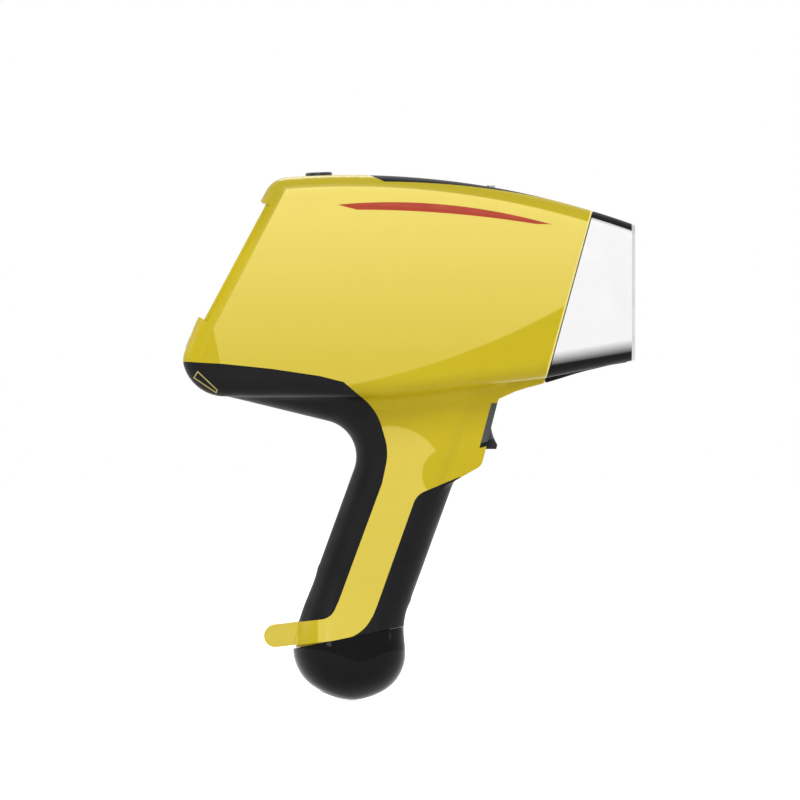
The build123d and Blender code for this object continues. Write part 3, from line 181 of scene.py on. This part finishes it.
def ranged(finish, value, low, high, from_low=0.3, from_high=0.7):
    step = finish.node_tree.nodes.new("ShaderNodeMapRange")
    step.inputs["From Min"].default_value = from_low
    step.inputs["From Max"].default_value = from_high
    step.inputs["To Min"].default_value = low
    step.inputs["To Max"].default_value = high
    finish.node_tree.links.new(value, step.inputs["Value"])
    return step.outputs["Result"]


def grained(finish, grain_size, depth, stretch=(1, 1, 1), detail=3.0):
    """Fine relief of a moulded, rolled or blasted surface."""
    bump = finish.node_tree.nodes.new("ShaderNodeBump")
    bump.inputs["Distance"].default_value = depth
    bump.inputs["Strength"].default_value = 0.6
    finish.node_tree.links.new(noise_on(finish, grain_size, stretch, detail), bump.inputs["Height"])
    finish.node_tree.links.new(bump.outputs["Normal"], shader_of(finish).inputs["Normal"])


def uneven_gloss(finish, low, high, patch_size, stretch=(1, 1, 1)):
    """Handling marks: the gloss drifts a little over the surface."""
    drift = ranged(finish, noise_on(finish, patch_size, stretch, 5.0), low, high)
    finish.node_tree.links.new(drift, shader_of(finish).inputs["Roughness"])


def two_toned(finish, fac, first, second):
    """Base colour between two screen colours."""
    mix = finish.node_tree.nodes.new("ShaderNodeMix")
    mix.data_type = "RGBA"
    if isinstance(first, tuple):
        mix.inputs[6].default_value = screen_colour(*first)
    else:
        finish.node_tree.links.new(first, mix.inputs[6])
    if isinstance(second, tuple):
        mix.inputs[7].default_value = screen_colour(*second)
    else:
        finish.node_tree.links.new(second, mix.inputs[7])
    finish.node_tree.links.new(fac, mix.inputs[0])
    finish.node_tree.links.new(mix.outputs[2], shader_of(finish).inputs["Base Color"])
    return mix.outputs[2]


def cloudy(finish, first, second, patch_size, stretch=(1, 1, 1)):
    """Base colour that drifts between two close tones."""
    return two_toned(finish, ranged(finish, noise_on(finish, patch_size, stretch), 0, 1), first, second)


def wears(finish, *nodes):
    for node in nodes:
        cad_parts[node].material_slots[0].material = finish


sheet_metal = new_finish("rolled_sheet", (205, 206, 208), 0.34, metallic=1.0)
cloudy(sheet_metal, (198, 199, 202), (212, 213, 215), 0.012, (1, 8, 1))
uneven_gloss(sheet_metal, 0.28, 0.42, 0.006, (1, 14, 1))
grained(sheet_metal, 0.0012, 0.00003, (1, 20, 1))
wears(sheet_metal, "chassis", "detector_bracket")

# ---------------------------------------------------------------------------------------------
# Circuit boards: glass-fibre laminate under green solder mask, with copper tracks that show
# through as a lighter green. The power switch wears the same finish.
board_finish = new_finish("solder_mask", (26, 84, 52), 0.32)


def tracked(finish, pitch, base, track):
    """Rows of copper tracks under the mask."""
    nodes = finish.node_tree.nodes
    rows = nodes.new("ShaderNodeTexBrick")
    rows.inputs["Scale"].default_value = 1 / pitch
    rows.inputs["Mortar Size"].default_value = 0.09
    rows.inputs["Brick Width"].default_value = 2.6
    rows.inputs["Row Height"].default_value = 0.6
    finish.node_tree.links.new(place_on(finish), rows.inputs["Vector"])
    two_toned(finish, rows.outputs["Fac"], base, track)


tracked(board_finish, 0.004, (20, 74, 46), (38, 110, 66))
uneven_gloss(board_finish, 0.24, 0.40, 0.01)
wears(
    board_finish,
    "main_board", "pulse_processor_board", "preamp_board", "display_board", "key_board", "power_switch",
)

# ---------------------------------------------------------------------------------------------
# High-voltage supply: the generator for the tube, potted in a folded can of tinned steel and
# soldered along its seams.
tinned = new_finish("tinned_can", (182, 184, 184), 0.36, metallic=1.0)
cloudy(tinned, (170, 172, 173), (196, 197, 196), 0.006)
uneven_gloss(tinned, 0.26, 0.46, 0.004)
wears(tinned, "high_voltage_supply")

# ---------------------------------------------------------------------------------------------
# Measuring head: a milled aluminium frame that holds the tube, the detector and the filter
# wheel on one point of the sample.
milled = new_finish("milled_aluminium", (200, 201, 204), 0.30, metallic=1.0)
cloudy(milled, (192, 193, 197), (208, 209, 211), 0.008)
grained(milled, 0.0008, 0.00002, (1, 1, 18))
uneven_gloss(milled, 0.24, 0.38, 0.005)
wears(milled, "measuring_frame")

glazed = new_finish("glazed_ceramic", (232, 228, 216), 0.12)
cloudy(glazed, (226, 221, 208), (236, 232, 222), 0.01)
wears(glazed, "xray_tube")

turned_brass = new_finish("turned_brass", (190, 154, 88), 0.24, metallic=1.0)
cloudy(turned_brass, (178, 141, 78), (200, 166, 102), 0.005)
uneven_gloss(turned_brass, 0.18, 0.34, 0.003)
wears(turned_brass, "tube_shield", "motor_pinion", "filters")

moulded_boot = new_finish("silicone_boot", (34, 34, 36), 0.55)
grained(moulded_boot, 0.0006, 0.00003)
cloudy(moulded_boot, (28, 28, 30), (40, 40, 42), 0.008)
wears(moulded_boot, "tube_boot", "nose_gasket", "heat_sink_pad", "display_gasket")

ground_steel = new_finish("ground_steel", (176, 178, 181), 0.26, metallic=1.0)
cloudy(ground_steel, (166, 168, 172), (186, 188, 190), 0.003)
uneven_gloss(ground_steel, 0.2, 0.36, 0.002)
wears(
    ground_steel, "filter_wheel", "wheel_axle", "wheel_motor", "collimator", "trigger_pin", "trigger_spring",
)

polished_can = new_finish("nickelled_can", (205, 203, 198), 0.12, metallic=1.0)
uneven_gloss(polished_can, 0.08, 0.2, 0.003)
cloudy(polished_can, (198, 196, 190), (212, 210, 205), 0.004)
wears(polished_can, "detector")

# ---------------------------------------------------------------------------------------------
# Housings: two glossy moulded shells in yellow that meet on the centre plane. Each flank carries a
# flat field painted lighter as the reflection of a soft lamp, brighter towards the top; the border
# along the roof, the rear edge and the front foot keeps the deeper base tone, with painted shade towards the
# roof.


def reach_from(finish, x, z):
    """Distance from a line across the instrument, through x and z."""
    nodes = finish.node_tree.nodes
    split = nodes.new("ShaderNodeSeparateXYZ")
    finish.node_tree.links.new(place_on(finish), split.inputs[0])
    join = nodes.new("ShaderNodeCombineXYZ")
    finish.node_tree.links.new(split.outputs["X"], join.inputs["X"])
    finish.node_tree.links.new(split.outputs["Z"], join.inputs["Z"])
    span = nodes.new("ShaderNodeVectorMath")
    span.operation = "DISTANCE"
    span.inputs[1].default_value = (x, 0, z)
    finish.node_tree.links.new(join.outputs[0], span.inputs[0])
    return span.outputs["Value"]


def beyond_line(finish, start, end):
    """Signed distance to the left of a line in the side view, from start to end."""
    run = (Vector(end) - Vector(start)).normalized()
    nodes = finish.node_tree.nodes
    dot = nodes.new("ShaderNodeVectorMath")
    dot.operation = "DOT_PRODUCT"
    dot.inputs[1].default_value = (-run.y, 0, run.x)
    finish.node_tree.links.new(place_on(finish), dot.inputs[0])
    less = nodes.new("ShaderNodeMath")
    less.operation = "SUBTRACT"
    less.inputs[1].default_value = -run.y * start[0] + run.x * start[1]
    finish.node_tree.links.new(dot.outputs["Value"], less.inputs[0])
    return less.outputs[0]


def both(finish, first, second, way="MULTIPLY"):
    step = finish.node_tree.nodes.new("ShaderNodeMath")
    step.operation = way
    step.use_clamp = True
    finish.node_tree.links.new(first, step.inputs[0])
    finish.node_tree.links.new(second, step.inputs[1])
    return step.outputs[0]


def soft_step(finish, value, edge, blur, rising=True):
    """From 0 to 1 across an edge, or from 1 to 0."""
    ends = (0.0, 1.0) if rising else (1.0, 0.0)
    return ranged(finish, value, *ends, edge - blur, edge + blur)


def height_blend(finish, low, high):
    """0 at one height and 1 at another."""
    split = finish.node_tree.nodes.new("ShaderNodeSeparateXYZ")
    finish.node_tree.links.new(place_on(finish), split.inputs[0])
    return ranged(finish, split.outputs["Z"], 0.0, 1.0, low, high)


def inside_lines(finish, corners, blur, inset=0.0):
    """1 inside a convex outline in the side view whose corners run anticlockwise."""
    inside = None
    for start, end in zip(corners, corners[1:] + corners[:1]):
        edge = soft_step(finish, beyond_line(finish, start, end), inset, blur)
        inside = edge if inside is None else both(finish, inside, edge)
    return inside


EDGE_BLUR = 0.0004
ROOF_CENTRE = (-0.156, -0.3957)
FIELD_RADIUS = 0.4535
FIELD_REAR = [(-0.1942, 0.0503), (-0.2307, -0.0198), (-0.2272, -0.0375)]
SHOULDER_CENTRE = (-0.1342, -0.1034)
SHOULDER_RADIUS = 0.03025
KNUCKLE_CENTRE = (-0.1023, -0.09955)
KNUCKLE_RADIUS = 0.0143
NOSE_HIGHLIGHT_WIDTH = 0.0009
SWEEP_CENTRE = (-0.235, 0.345)
SWEEP_RADIUS = 0.4035
NOSE_SEAM_TOP = (-0.0231, 0.0457)
NOSE_SEAM_FOOT = (-0.0490, -0.0484)
STRIPE_ABOVE = ((-0.13746, -0.32524), 0.37389)
STRIPE_BELOW = ((-0.15172, -0.57247), 0.61757)
STRIPE_REAR = [(-0.1626, 0.0478), (-0.1521, 0.0451)]
STRIPE_FRONT = [(-0.0545, 0.0374), (-0.04565, 0.0372)]
TRIGGER_TRIM = [(-0.0852, -0.0853), (-0.0700, -0.0813), (-0.0700, -0.0605), (-0.0786, -0.0605)]
TRIM_LIP = [(-0.0858, -0.0829), (-0.0766, -0.0805)]
LUG_BAND = [(-0.1848, -0.2000), (-0.1738, -0.2000), (-0.1738, -0.1780), (-0.1848, -0.1780)]
FOOT_TURN = [(-0.1631, -0.1692), (-0.1595, -0.18975), (-0.1400, -0.1950), (-0.1442, -0.1769)]
FOOT_RADIUS = 0.0209

yellow = new_finish("yellow_shell", (206, 184, 34), 0.24, specular=0.14)
border_low = cloudy(yellow, (205, 183, 28), (210, 188, 36), 0.05)
# painted shade: the border darkens towards the roof, where the rounded edge turns up away from the light
roof_shaded_border = two_toned(yellow, height_blend(yellow, 0.020, 0.055), border_low, (190, 172, 40))
# painted light: the field is lighter towards the top, as if lit from above
top_light_blend = height_blend(yellow, -0.04, 0.045)
lit_field_colour = two_toned(yellow, top_light_blend, (222, 200, 72), (244, 223, 112))

# painted reflection: the lighter field stands for a soft lamp mirrored in the flank, and the sweep for the
# line where that reflection ends at the lower front
field_reflection_mask = soft_step(yellow, reach_from(yellow, *ROOF_CENTRE), FIELD_RADIUS, EDGE_BLUR, rising=False)
for rear_from, rear_to in zip(FIELD_REAR, FIELD_REAR[1:]):
    ahead = soft_step(yellow, beyond_line(yellow, rear_from, rear_to), 0.0, EDGE_BLUR)
    field_reflection_mask = both(yellow, field_reflection_mask, ahead)
sweep = soft_step(yellow, reach_from(yellow, *SWEEP_CENTRE), SWEEP_RADIUS, 0.0006, rising=False)
field_reflection_mask = both(yellow, field_reflection_mask, sweep)
field_highlighted = two_toned(yellow, field_reflection_mask, roof_shaded_border, lit_field_colour)

# painted highlight: the side of the handle is painted as light as the field, as lamp light on the glossy
# shell; the patch starts in a round shoulder behind the trigger housing
shoulder = soft_step(yellow, reach_from(yellow, *SHOULDER_CENTRE), SHOULDER_RADIUS, EDGE_BLUR, rising=False)
shoulder_level = [(0.0, SHOULDER_CENTRE[1]), (-0.1, SHOULDER_CENTRE[1])]
below_shoulder = soft_step(yellow, beyond_line(yellow, *shoulder_level), 0.0, EDGE_BLUR)
handle_highlight_mask = both(yellow, shoulder, below_shoulder, "MAXIMUM")
knuckle = soft_step(yellow, reach_from(yellow, *KNUCKLE_CENTRE), KNUCKLE_RADIUS, EDGE_BLUR)
handle_highlighted = two_toned(yellow, both(yellow, handle_highlight_mask, knuckle), field_highlighted, (230, 208, 84))

# where the strap lug joins, and where the rubber turns in round the foot of the handle
banded = two_toned(yellow, inside_lines(yellow, LUG_BAND, 0.0003), handle_highlighted, (208, 186, 36))
foot_turn = inside_lines(yellow, FOOT_TURN, 0.0001)
outside_turn = soft_step(yellow, reach_from(yellow, *FOOT_TURN[0]), FOOT_RADIUS, 0.0002)
footed = two_toned(yellow, both(yellow, foot_turn, outside_turn), banded, (20, 20, 22))

# red paint carries the stripe to its full breadth round the inlay
below_arc = soft_step(yellow, reach_from(yellow, *STRIPE_ABOVE[0]), STRIPE_ABOVE[1], 0.0001, rising=False)
above_arc = soft_step(yellow, reach_from(yellow, *STRIPE_BELOW[0]), STRIPE_BELOW[1], 0.0001)
stripe = both(yellow, below_arc, above_arc)
for stripe_end in (STRIPE_REAR, STRIPE_FRONT):
    stripe = both(yellow, stripe, soft_step(yellow, beyond_line(yellow, *stripe_end), 0.0, 0.0001))
striped = two_toned(yellow, stripe, footed, (184, 72, 52))

# painted highlight: a bright line beside the nose, where the front edge of the shell catches the light
behind_nose = beyond_line(yellow, NOSE_SEAM_FOOT, NOSE_SEAM_TOP)
nose_highlight_mask = soft_step(yellow, behind_nose, NOSE_HIGHLIGHT_WIDTH, 0.0002, rising=False)
nose_highlighted = two_toned(yellow, nose_highlight_mask, striped, (246, 230, 140))

# grey trim beside the trigger
trim = inside_lines(yellow, TRIGGER_TRIM, 0.0002)
trim_lip = soft_step(yellow, beyond_line(yellow, *TRIM_LIP), 0.0, 0.0002)
trim_tone = two_toned(yellow, trim_lip, (10, 10, 11), (84, 85, 88))
two_toned(yellow, trim, nose_highlighted, trim_tone)
grained(yellow, 0.0009, 0.000012)
uneven_gloss(yellow, 0.22, 0.27, 0.05)
wears(yellow, "right_housing", "left_housing", "strap_lug")

# ---------------------------------------------------------------------------------------------
# Screen rails: two yellow mouldings clipped into the channel of the rear face, one on each side
# of the display bezel, so that the flanks run on to the rear edge.
REAR_MIDDLE = (-0.2217, 0.0, 0.0173)
REAR_LEAN = 28.2
RAIL_DEPTHS = (0.0028, 0.0045)
RAIL_ENDS = (-0.0350, 0.0365)
RAIL_SIDES = (0.0322, 0.0377)
RAIL_FLARE = 0.0013
RAIL_EDGE = 0.0004


def start_block(name, low, high):
    """A cube stretched between two corners, open in edit mode with nothing selected."""
    bpy.ops.object.select_all(action="DESELECT")
    bpy.ops.mesh.primitive_cube_add(size=1, location=[(a + b) / 2 for a, b in zip(low, high)])
    piece = bpy.context.object
    piece.name = name
    piece.scale = [b - a for a, b in zip(low, high)]
    bpy.ops.object.transform_apply(location=True, rotation=True, scale=True)
    bpy.ops.object.mode_set(mode="EDIT")
    bpy.ops.mesh.select_all(action="DESELECT")
    return piece


def push(piece, chosen, offset):
    """In edit mode: moves the corners that pass a test."""
    bpy.ops.mesh.select_mode(type="VERT")
    bpy.ops.mesh.select_all(action="DESELECT")
    mesh = bmesh.from_edit_mesh(piece.data)
    for corner in mesh.verts:
        corner.select = chosen(corner.co)
    mesh.select_flush(True)
    bmesh.update_edit_mesh(piece.data)
    bpy.ops.transform.translate(value=offset)


def rounded(piece, width, segments=3, angle=30):
    """Back in object mode: a bevel on every edge sharper than an angle, applied."""
    bpy.ops.object.mode_set(mode="OBJECT")
    bevel = piece.modifiers.new("edge", "BEVEL")
    bevel.width = width
    bevel.segments = segments
    bevel.limit_method = "ANGLE"
    bevel.angle_limit = radians(angle)
    bpy.ops.object.modifier_apply(modifier=bevel.name)
    bpy.ops.object.shade_smooth_by_angle(angle=radians(40))


for side, flank in (("right", -1), ("left", 1)):
    near, far = sorted((flank * RAIL_SIDES[0], flank * RAIL_SIDES[1]))
    rail = start_block(
        "screen_rail_" + side, (RAIL_DEPTHS[0], near, RAIL_ENDS[0]), (RAIL_DEPTHS[1], far, RAIL_ENDS[1])
    )
    push(
        rail, lambda co: co.x > RAIL_DEPTHS[1] - 0.0001 and co.y * flank > RAIL_SIDES[1] - 0.0001,
        (0, flank * RAIL_FLARE, 0),
    )
    rounded(rail, RAIL_EDGE, 2)
    rail.rotation_euler = (0, radians(REAR_LEAN), 0)
    rail.location = REAR_MIDDLE
    bpy.ops.object.transform_apply(location=True, rotation=True, scale=True)
    rail.data.materials.append(yellow)
    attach(rail, "instrument")

# ---------------------------------------------------------------------------------------------
# Belly fairing: a yellow shell snapped under the head from the nose back to the trigger, which
# deepens the belly ahead of the finger and stiffens it.
FAIRING_STATIONS = [
    (-0.0492, -0.0440, -0.0496), (-0.0540, -0.0444, -0.0509), (-0.0594, -0.0450, -0.0523),
    (-0.0650, -0.0456, -0.0541), (-0.0700, -0.0462, -0.0563), (-0.0740, -0.0466, -0.0581),
    (-0.0762, -0.0470, -0.0588),
]
FAIRING_TOP_HALF = 0.0165
FAIRING_FOOT_HALF = 0.0150
FAIRING_EDGE = 0.0012


def hanging_shell(name, stations, top_half, foot_half, softness):
    """A block run backwards through stations of (x, top, foot), narrower at its foot."""
    (x, top, foot), (next_x, next_top, next_foot) = stations[:2]
    near = 0.00001
    shell = start_block(name, (next_x, -top_half, foot), (x, top_half, top))
    push(shell, lambda co: co.z < foot + near and co.y > 0, (0, foot_half - top_half, 0))
    push(shell, lambda co: co.z < foot + near and co.y < 0, (0, top_half - foot_half, 0))
    push(shell, lambda co: co.x < next_x + near and co.z < (top + foot) / 2, (0, 0, next_foot - foot))
    push(shell, lambda co: co.x < next_x + near and co.z > (top + foot) / 2, (0, 0, next_top - top))
    for (x, top, foot), (next_x, next_top, next_foot) in zip(stations[1:], stations[2:]):
        bpy.ops.mesh.select_mode(type="FACE")
        bpy.ops.mesh.select_all(action="DESELECT")
        mesh = bmesh.from_edit_mesh(shell.data)
        for face in mesh.faces:
            face.select = face.normal.x < -0.9
        bmesh.update_edit_mesh(shell.data)
        bpy.ops.mesh.extrude_region_move(TRANSFORM_OT_translate={"value": (next_x - x, 0, 0)})
        push(shell, lambda co: co.x < next_x + near and co.z < (top + foot) / 2, (0, 0, next_foot - foot))
        push(shell, lambda co: co.x < next_x + near and co.z > (top + foot) / 2, (0, 0, next_top - top))
    rounded(shell, softness, 4, 25)
    return shell


fairing = hanging_shell("belly_fairing", FAIRING_STATIONS, FAIRING_TOP_HALF, FAIRING_FOOT_HALF, FAIRING_EDGE)
fairing.data.materials.append(yellow)
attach(fairing, "instrument")

# ---------------------------------------------------------------------------------------------
# Flank stripes: thin inlays of red plastic, one high on each flank. Each is pressed into a
# shallow groove in its housing and held by adhesive.
red_inlay = new_finish("red_inlay", (184, 72, 52), 0.34, specular=0.25)
cloudy(red_inlay, (176, 66, 48), (190, 78, 58), 0.01)
grained(red_inlay, 0.0006, 0.00001)
wears(red_inlay, "accent_stripes")

# ---------------------------------------------------------------------------------------------
# Grips: black soft-touch rubber moulded over the heel, the back and the front of the handle. A
# pale bead on the rubber marks each end of the port door.
DOOR_BEAD = [(-0.2418, -0.04675), (-0.2291, -0.0553), (-0.22825, -0.05335), (-0.23925, -0.0429)]
BEAD_WIDTH = 0.0006
soft_rubber = new_finish("soft_touch_rubber", (20, 20, 22), 0.44, specular=0.12)
grained(soft_rubber, 0.0005, 0.00004)
uneven_gloss(soft_rubber, 0.40, 0.54, 0.015)
rubber_tone = cloudy(soft_rubber, (15, 15, 17), (22, 22, 24), 0.02)
outside_bead = inside_lines(soft_rubber, DOOR_BEAD, 0.0001)
inside_bead = inside_lines(soft_rubber, DOOR_BEAD, 0.0001, inset=BEAD_WIDTH)
bead = both(soft_rubber, outside_bead, inside_bead, "SUBTRACT")
two_toned(soft_rubber, bead, rubber_tone, (196, 182, 112))
wears(soft_rubber, "back_grip", "front_grip")

# ---------------------------------------------------------------------------------------------
# Battery: a black moulded pack that runs up inside the handle, with a polished bulb for a foot.
# It is pushed up onto the sprung contacts at the top of its well.
pack_case = new_finish("battery_case", (36, 36, 38), 0.42)
cloudy(pack_case, (32, 32, 34), (42, 42, 44), 0.01)
grained(pack_case, 0.0007, 0.00003)
wears(pack_case, "battery_pack", "battery_contacts")

glossy_foot = new_finish("glossy_foot", (7, 7, 8), 0.07, specular=0.12)
uneven_gloss(glossy_foot, 0.05, 0.09, 0.02)
cloudy(glossy_foot, (5, 5, 6), (9, 9, 10), 0.02)
wears(glossy_foot, "battery_cap")

# ---------------------------------------------------------------------------------------------
# Port door at the heel: a black moulded flap that swings down on a pin, in a pale rubber seal,
# over the block with the two sockets.
flap = new_finish("port_flap", (24, 24, 25), 0.38)
cloudy(flap, (20, 20, 21), (28, 28, 29), 0.01)
grained(flap, 0.0006, 0.00002)
wears(flap, "port_cover")

pale_seal = new_finish("pale_seal", (158, 142, 108), 0.5)
cloudy(pale_seal, (150, 134, 100), (166, 150, 116), 0.006)
wears(pale_seal, "port_seal")

dark_moulding = new_finish("dark_moulding", (18, 18, 20), 0.44, specular=0.08)
cloudy(dark_moulding, (15, 15, 17), (22, 22, 24), 0.012)
grained(dark_moulding, 0.0008, 0.00003)
uneven_gloss(dark_moulding, 0.36, 0.48, 0.01)
wears(dark_moulding, "port_block", "nose_core", "window_retainer", "trigger_switch")

# ---------------------------------------------------------------------------------------------
# Nose: a dark moulded core with silver-painted cheeks, closed by a blasted aluminium plate with
# the measuring window and its amber film.
CHEEK_FOOT = [(-0.0473, -0.0402), (-0.0020, -0.0325)]
CHEEK_HEAD = [(-0.0020, 0.0353), (-0.0231, 0.0420)]
silver_paint = new_finish("silver_cheek", (248, 248, 249), 0.26, specular=0.4)
cheek_tone = cloudy(silver_paint, (246, 246, 248), (252, 252, 253), 0.03)
# painted reflection: the silver cheeks fade to near black along their foot, and more sharply along their
# head, as their rounded edges mirror the dark below and above
foot_dark_reflection = soft_step(silver_paint, beyond_line(silver_paint, *CHEEK_FOOT), 0.0035, 0.0035)
head_dark_reflection = soft_step(silver_paint, beyond_line(silver_paint, *CHEEK_HEAD), 0.0012, 0.0014)
two_toned(silver_paint, both(silver_paint, foot_dark_reflection, head_dark_reflection), (20, 20, 22), cheek_tone)
grained(silver_paint, 0.0003, 0.00001)
wears(silver_paint, "nose_right_cheek", "nose_left_cheek")

blasted = new_finish("blasted_plate", (186, 187, 189), 0.46, metallic=1.0)
cloudy(blasted, (180, 181, 184), (194, 195, 197), 0.012)
grained(blasted, 0.0003, 0.00003)
wears(blasted, "nose_plate")

# the skid under the nose is moulded in the same dark plastic as the core
SKID_STATIONS = [
    (-0.0040, -0.0345, -0.0382), (-0.0132, -0.0360, -0.0397), (-0.0264, -0.0385, -0.0428),
    (-0.0330, -0.0400, -0.0446), (-0.0396, -0.0415, -0.0467), (-0.0488, -0.0436, -0.0495),
]
SKID_TOP_HALF = 0.0165
SKID_FOOT_HALF = 0.0150
SKID_EDGE = 0.0010
skid = hanging_shell("chin_skid", SKID_STATIONS, SKID_TOP_HALF, SKID_FOOT_HALF, SKID_EDGE)
skid.data.materials.append(dark_moulding)
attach(skid, "instrument")

film = new_finish("amber_film", (176, 118, 48), 0.14)
uneven_gloss(film, 0.08, 0.24, 0.003)
cloudy(film, (168, 110, 42), (186, 130, 58), 0.004)
wears(film, "window_film")

# ---------------------------------------------------------------------------------------------
# Heat sink: a finned aluminium casting with a dark anodised skin, let into the roof over the
# measuring head and screwed down on a soft pad.
anodised = new_finish("dark_anodised", (34, 35, 37), 0.52, specular=0.06)
cloudy(anodised, (30, 31, 33), (40, 41, 43), 0.01)
grained(anodised, 0.0005, 0.00002)
wears(anodised, "heat_sink")

# ---------------------------------------------------------------------------------------------
# Display: a black moulded bezel with a touch glass over the panel. It sits on a gasket in a
# recess of the rear face.
bezel = new_finish("display_bezel", (30, 30, 32), 0.34)
cloudy(bezel, (26, 26, 28), (36, 36, 38), 0.01)
grained(bezel, 0.0006, 0.00002)
wears(bezel, "display_bezel")

glass = new_finish("touch_glass", (10, 11, 13), 0.04, specular=0.5)
uneven_gloss(glass, 0.03, 0.08, 0.01)
wears(glass, "display_glass")

panel = new_finish("display_panel", (30, 36, 44), 0.2)
cloudy(panel, (26, 32, 40), (34, 40, 50), 0.02)
wears(panel, "lcd_module")

# ---------------------------------------------------------------------------------------------
# Controls: three silicone keys under the display, the moulded power button on the roof and the
# grey trigger, which turns on a steel pin against a coil spring.
key_rubber = new_finish("key_silicone", (52, 52, 54), 0.5)
cloudy(key_rubber, (46, 46, 48), (58, 58, 60), 0.006)
grained(key_rubber, 0.0004, 0.00002)
wears(key_rubber, "key_left", "key_centre", "key_right")

button_black = new_finish("button_black", (26, 26, 27), 0.28)
cloudy(button_black, (22, 22, 23), (30, 30, 31), 0.006)
wears(button_black, "power_button")

LIP_LINE = [(-0.0858, -0.0823), (-0.0766, -0.0799)]
trigger_grey = new_finish("trigger_grey", (84, 85, 88), 0.42, specular=0.3)
trigger_tone = cloudy(trigger_grey, (76, 77, 80), (88, 89, 92), 0.008)
above_lip = soft_step(trigger_grey, beyond_line(trigger_grey, *LIP_LINE), 0.0, 0.0002)
two_toned(trigger_grey, above_lip, (10, 10, 11), trigger_tone)
grained(trigger_grey, 0.0006, 0.00003)
wears(trigger_grey, "trigger")

# the return spring is pressed together behind the trigger, against the rib at its rear end; its
# travel is picked above the 2.2 mm that the trigger moves there, so that the two cut into each
# other less
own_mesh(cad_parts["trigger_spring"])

# ---------------------------------------------------------------------------------------------
# Fasteners: stainless steel screws in the housing, the heat sink and the nose, with turned heads
# that sit in counterbores.
stainless = new_finish("stainless", (168, 169, 171), 0.3, metallic=1.0)
cloudy(stainless, (158, 159, 162), (178, 179, 181), 0.002)
uneven_gloss(stainless, 0.22, 0.4, 0.0015)
wears(stainless, "housing_screws", "heat_sink_screws", "nose_screws")
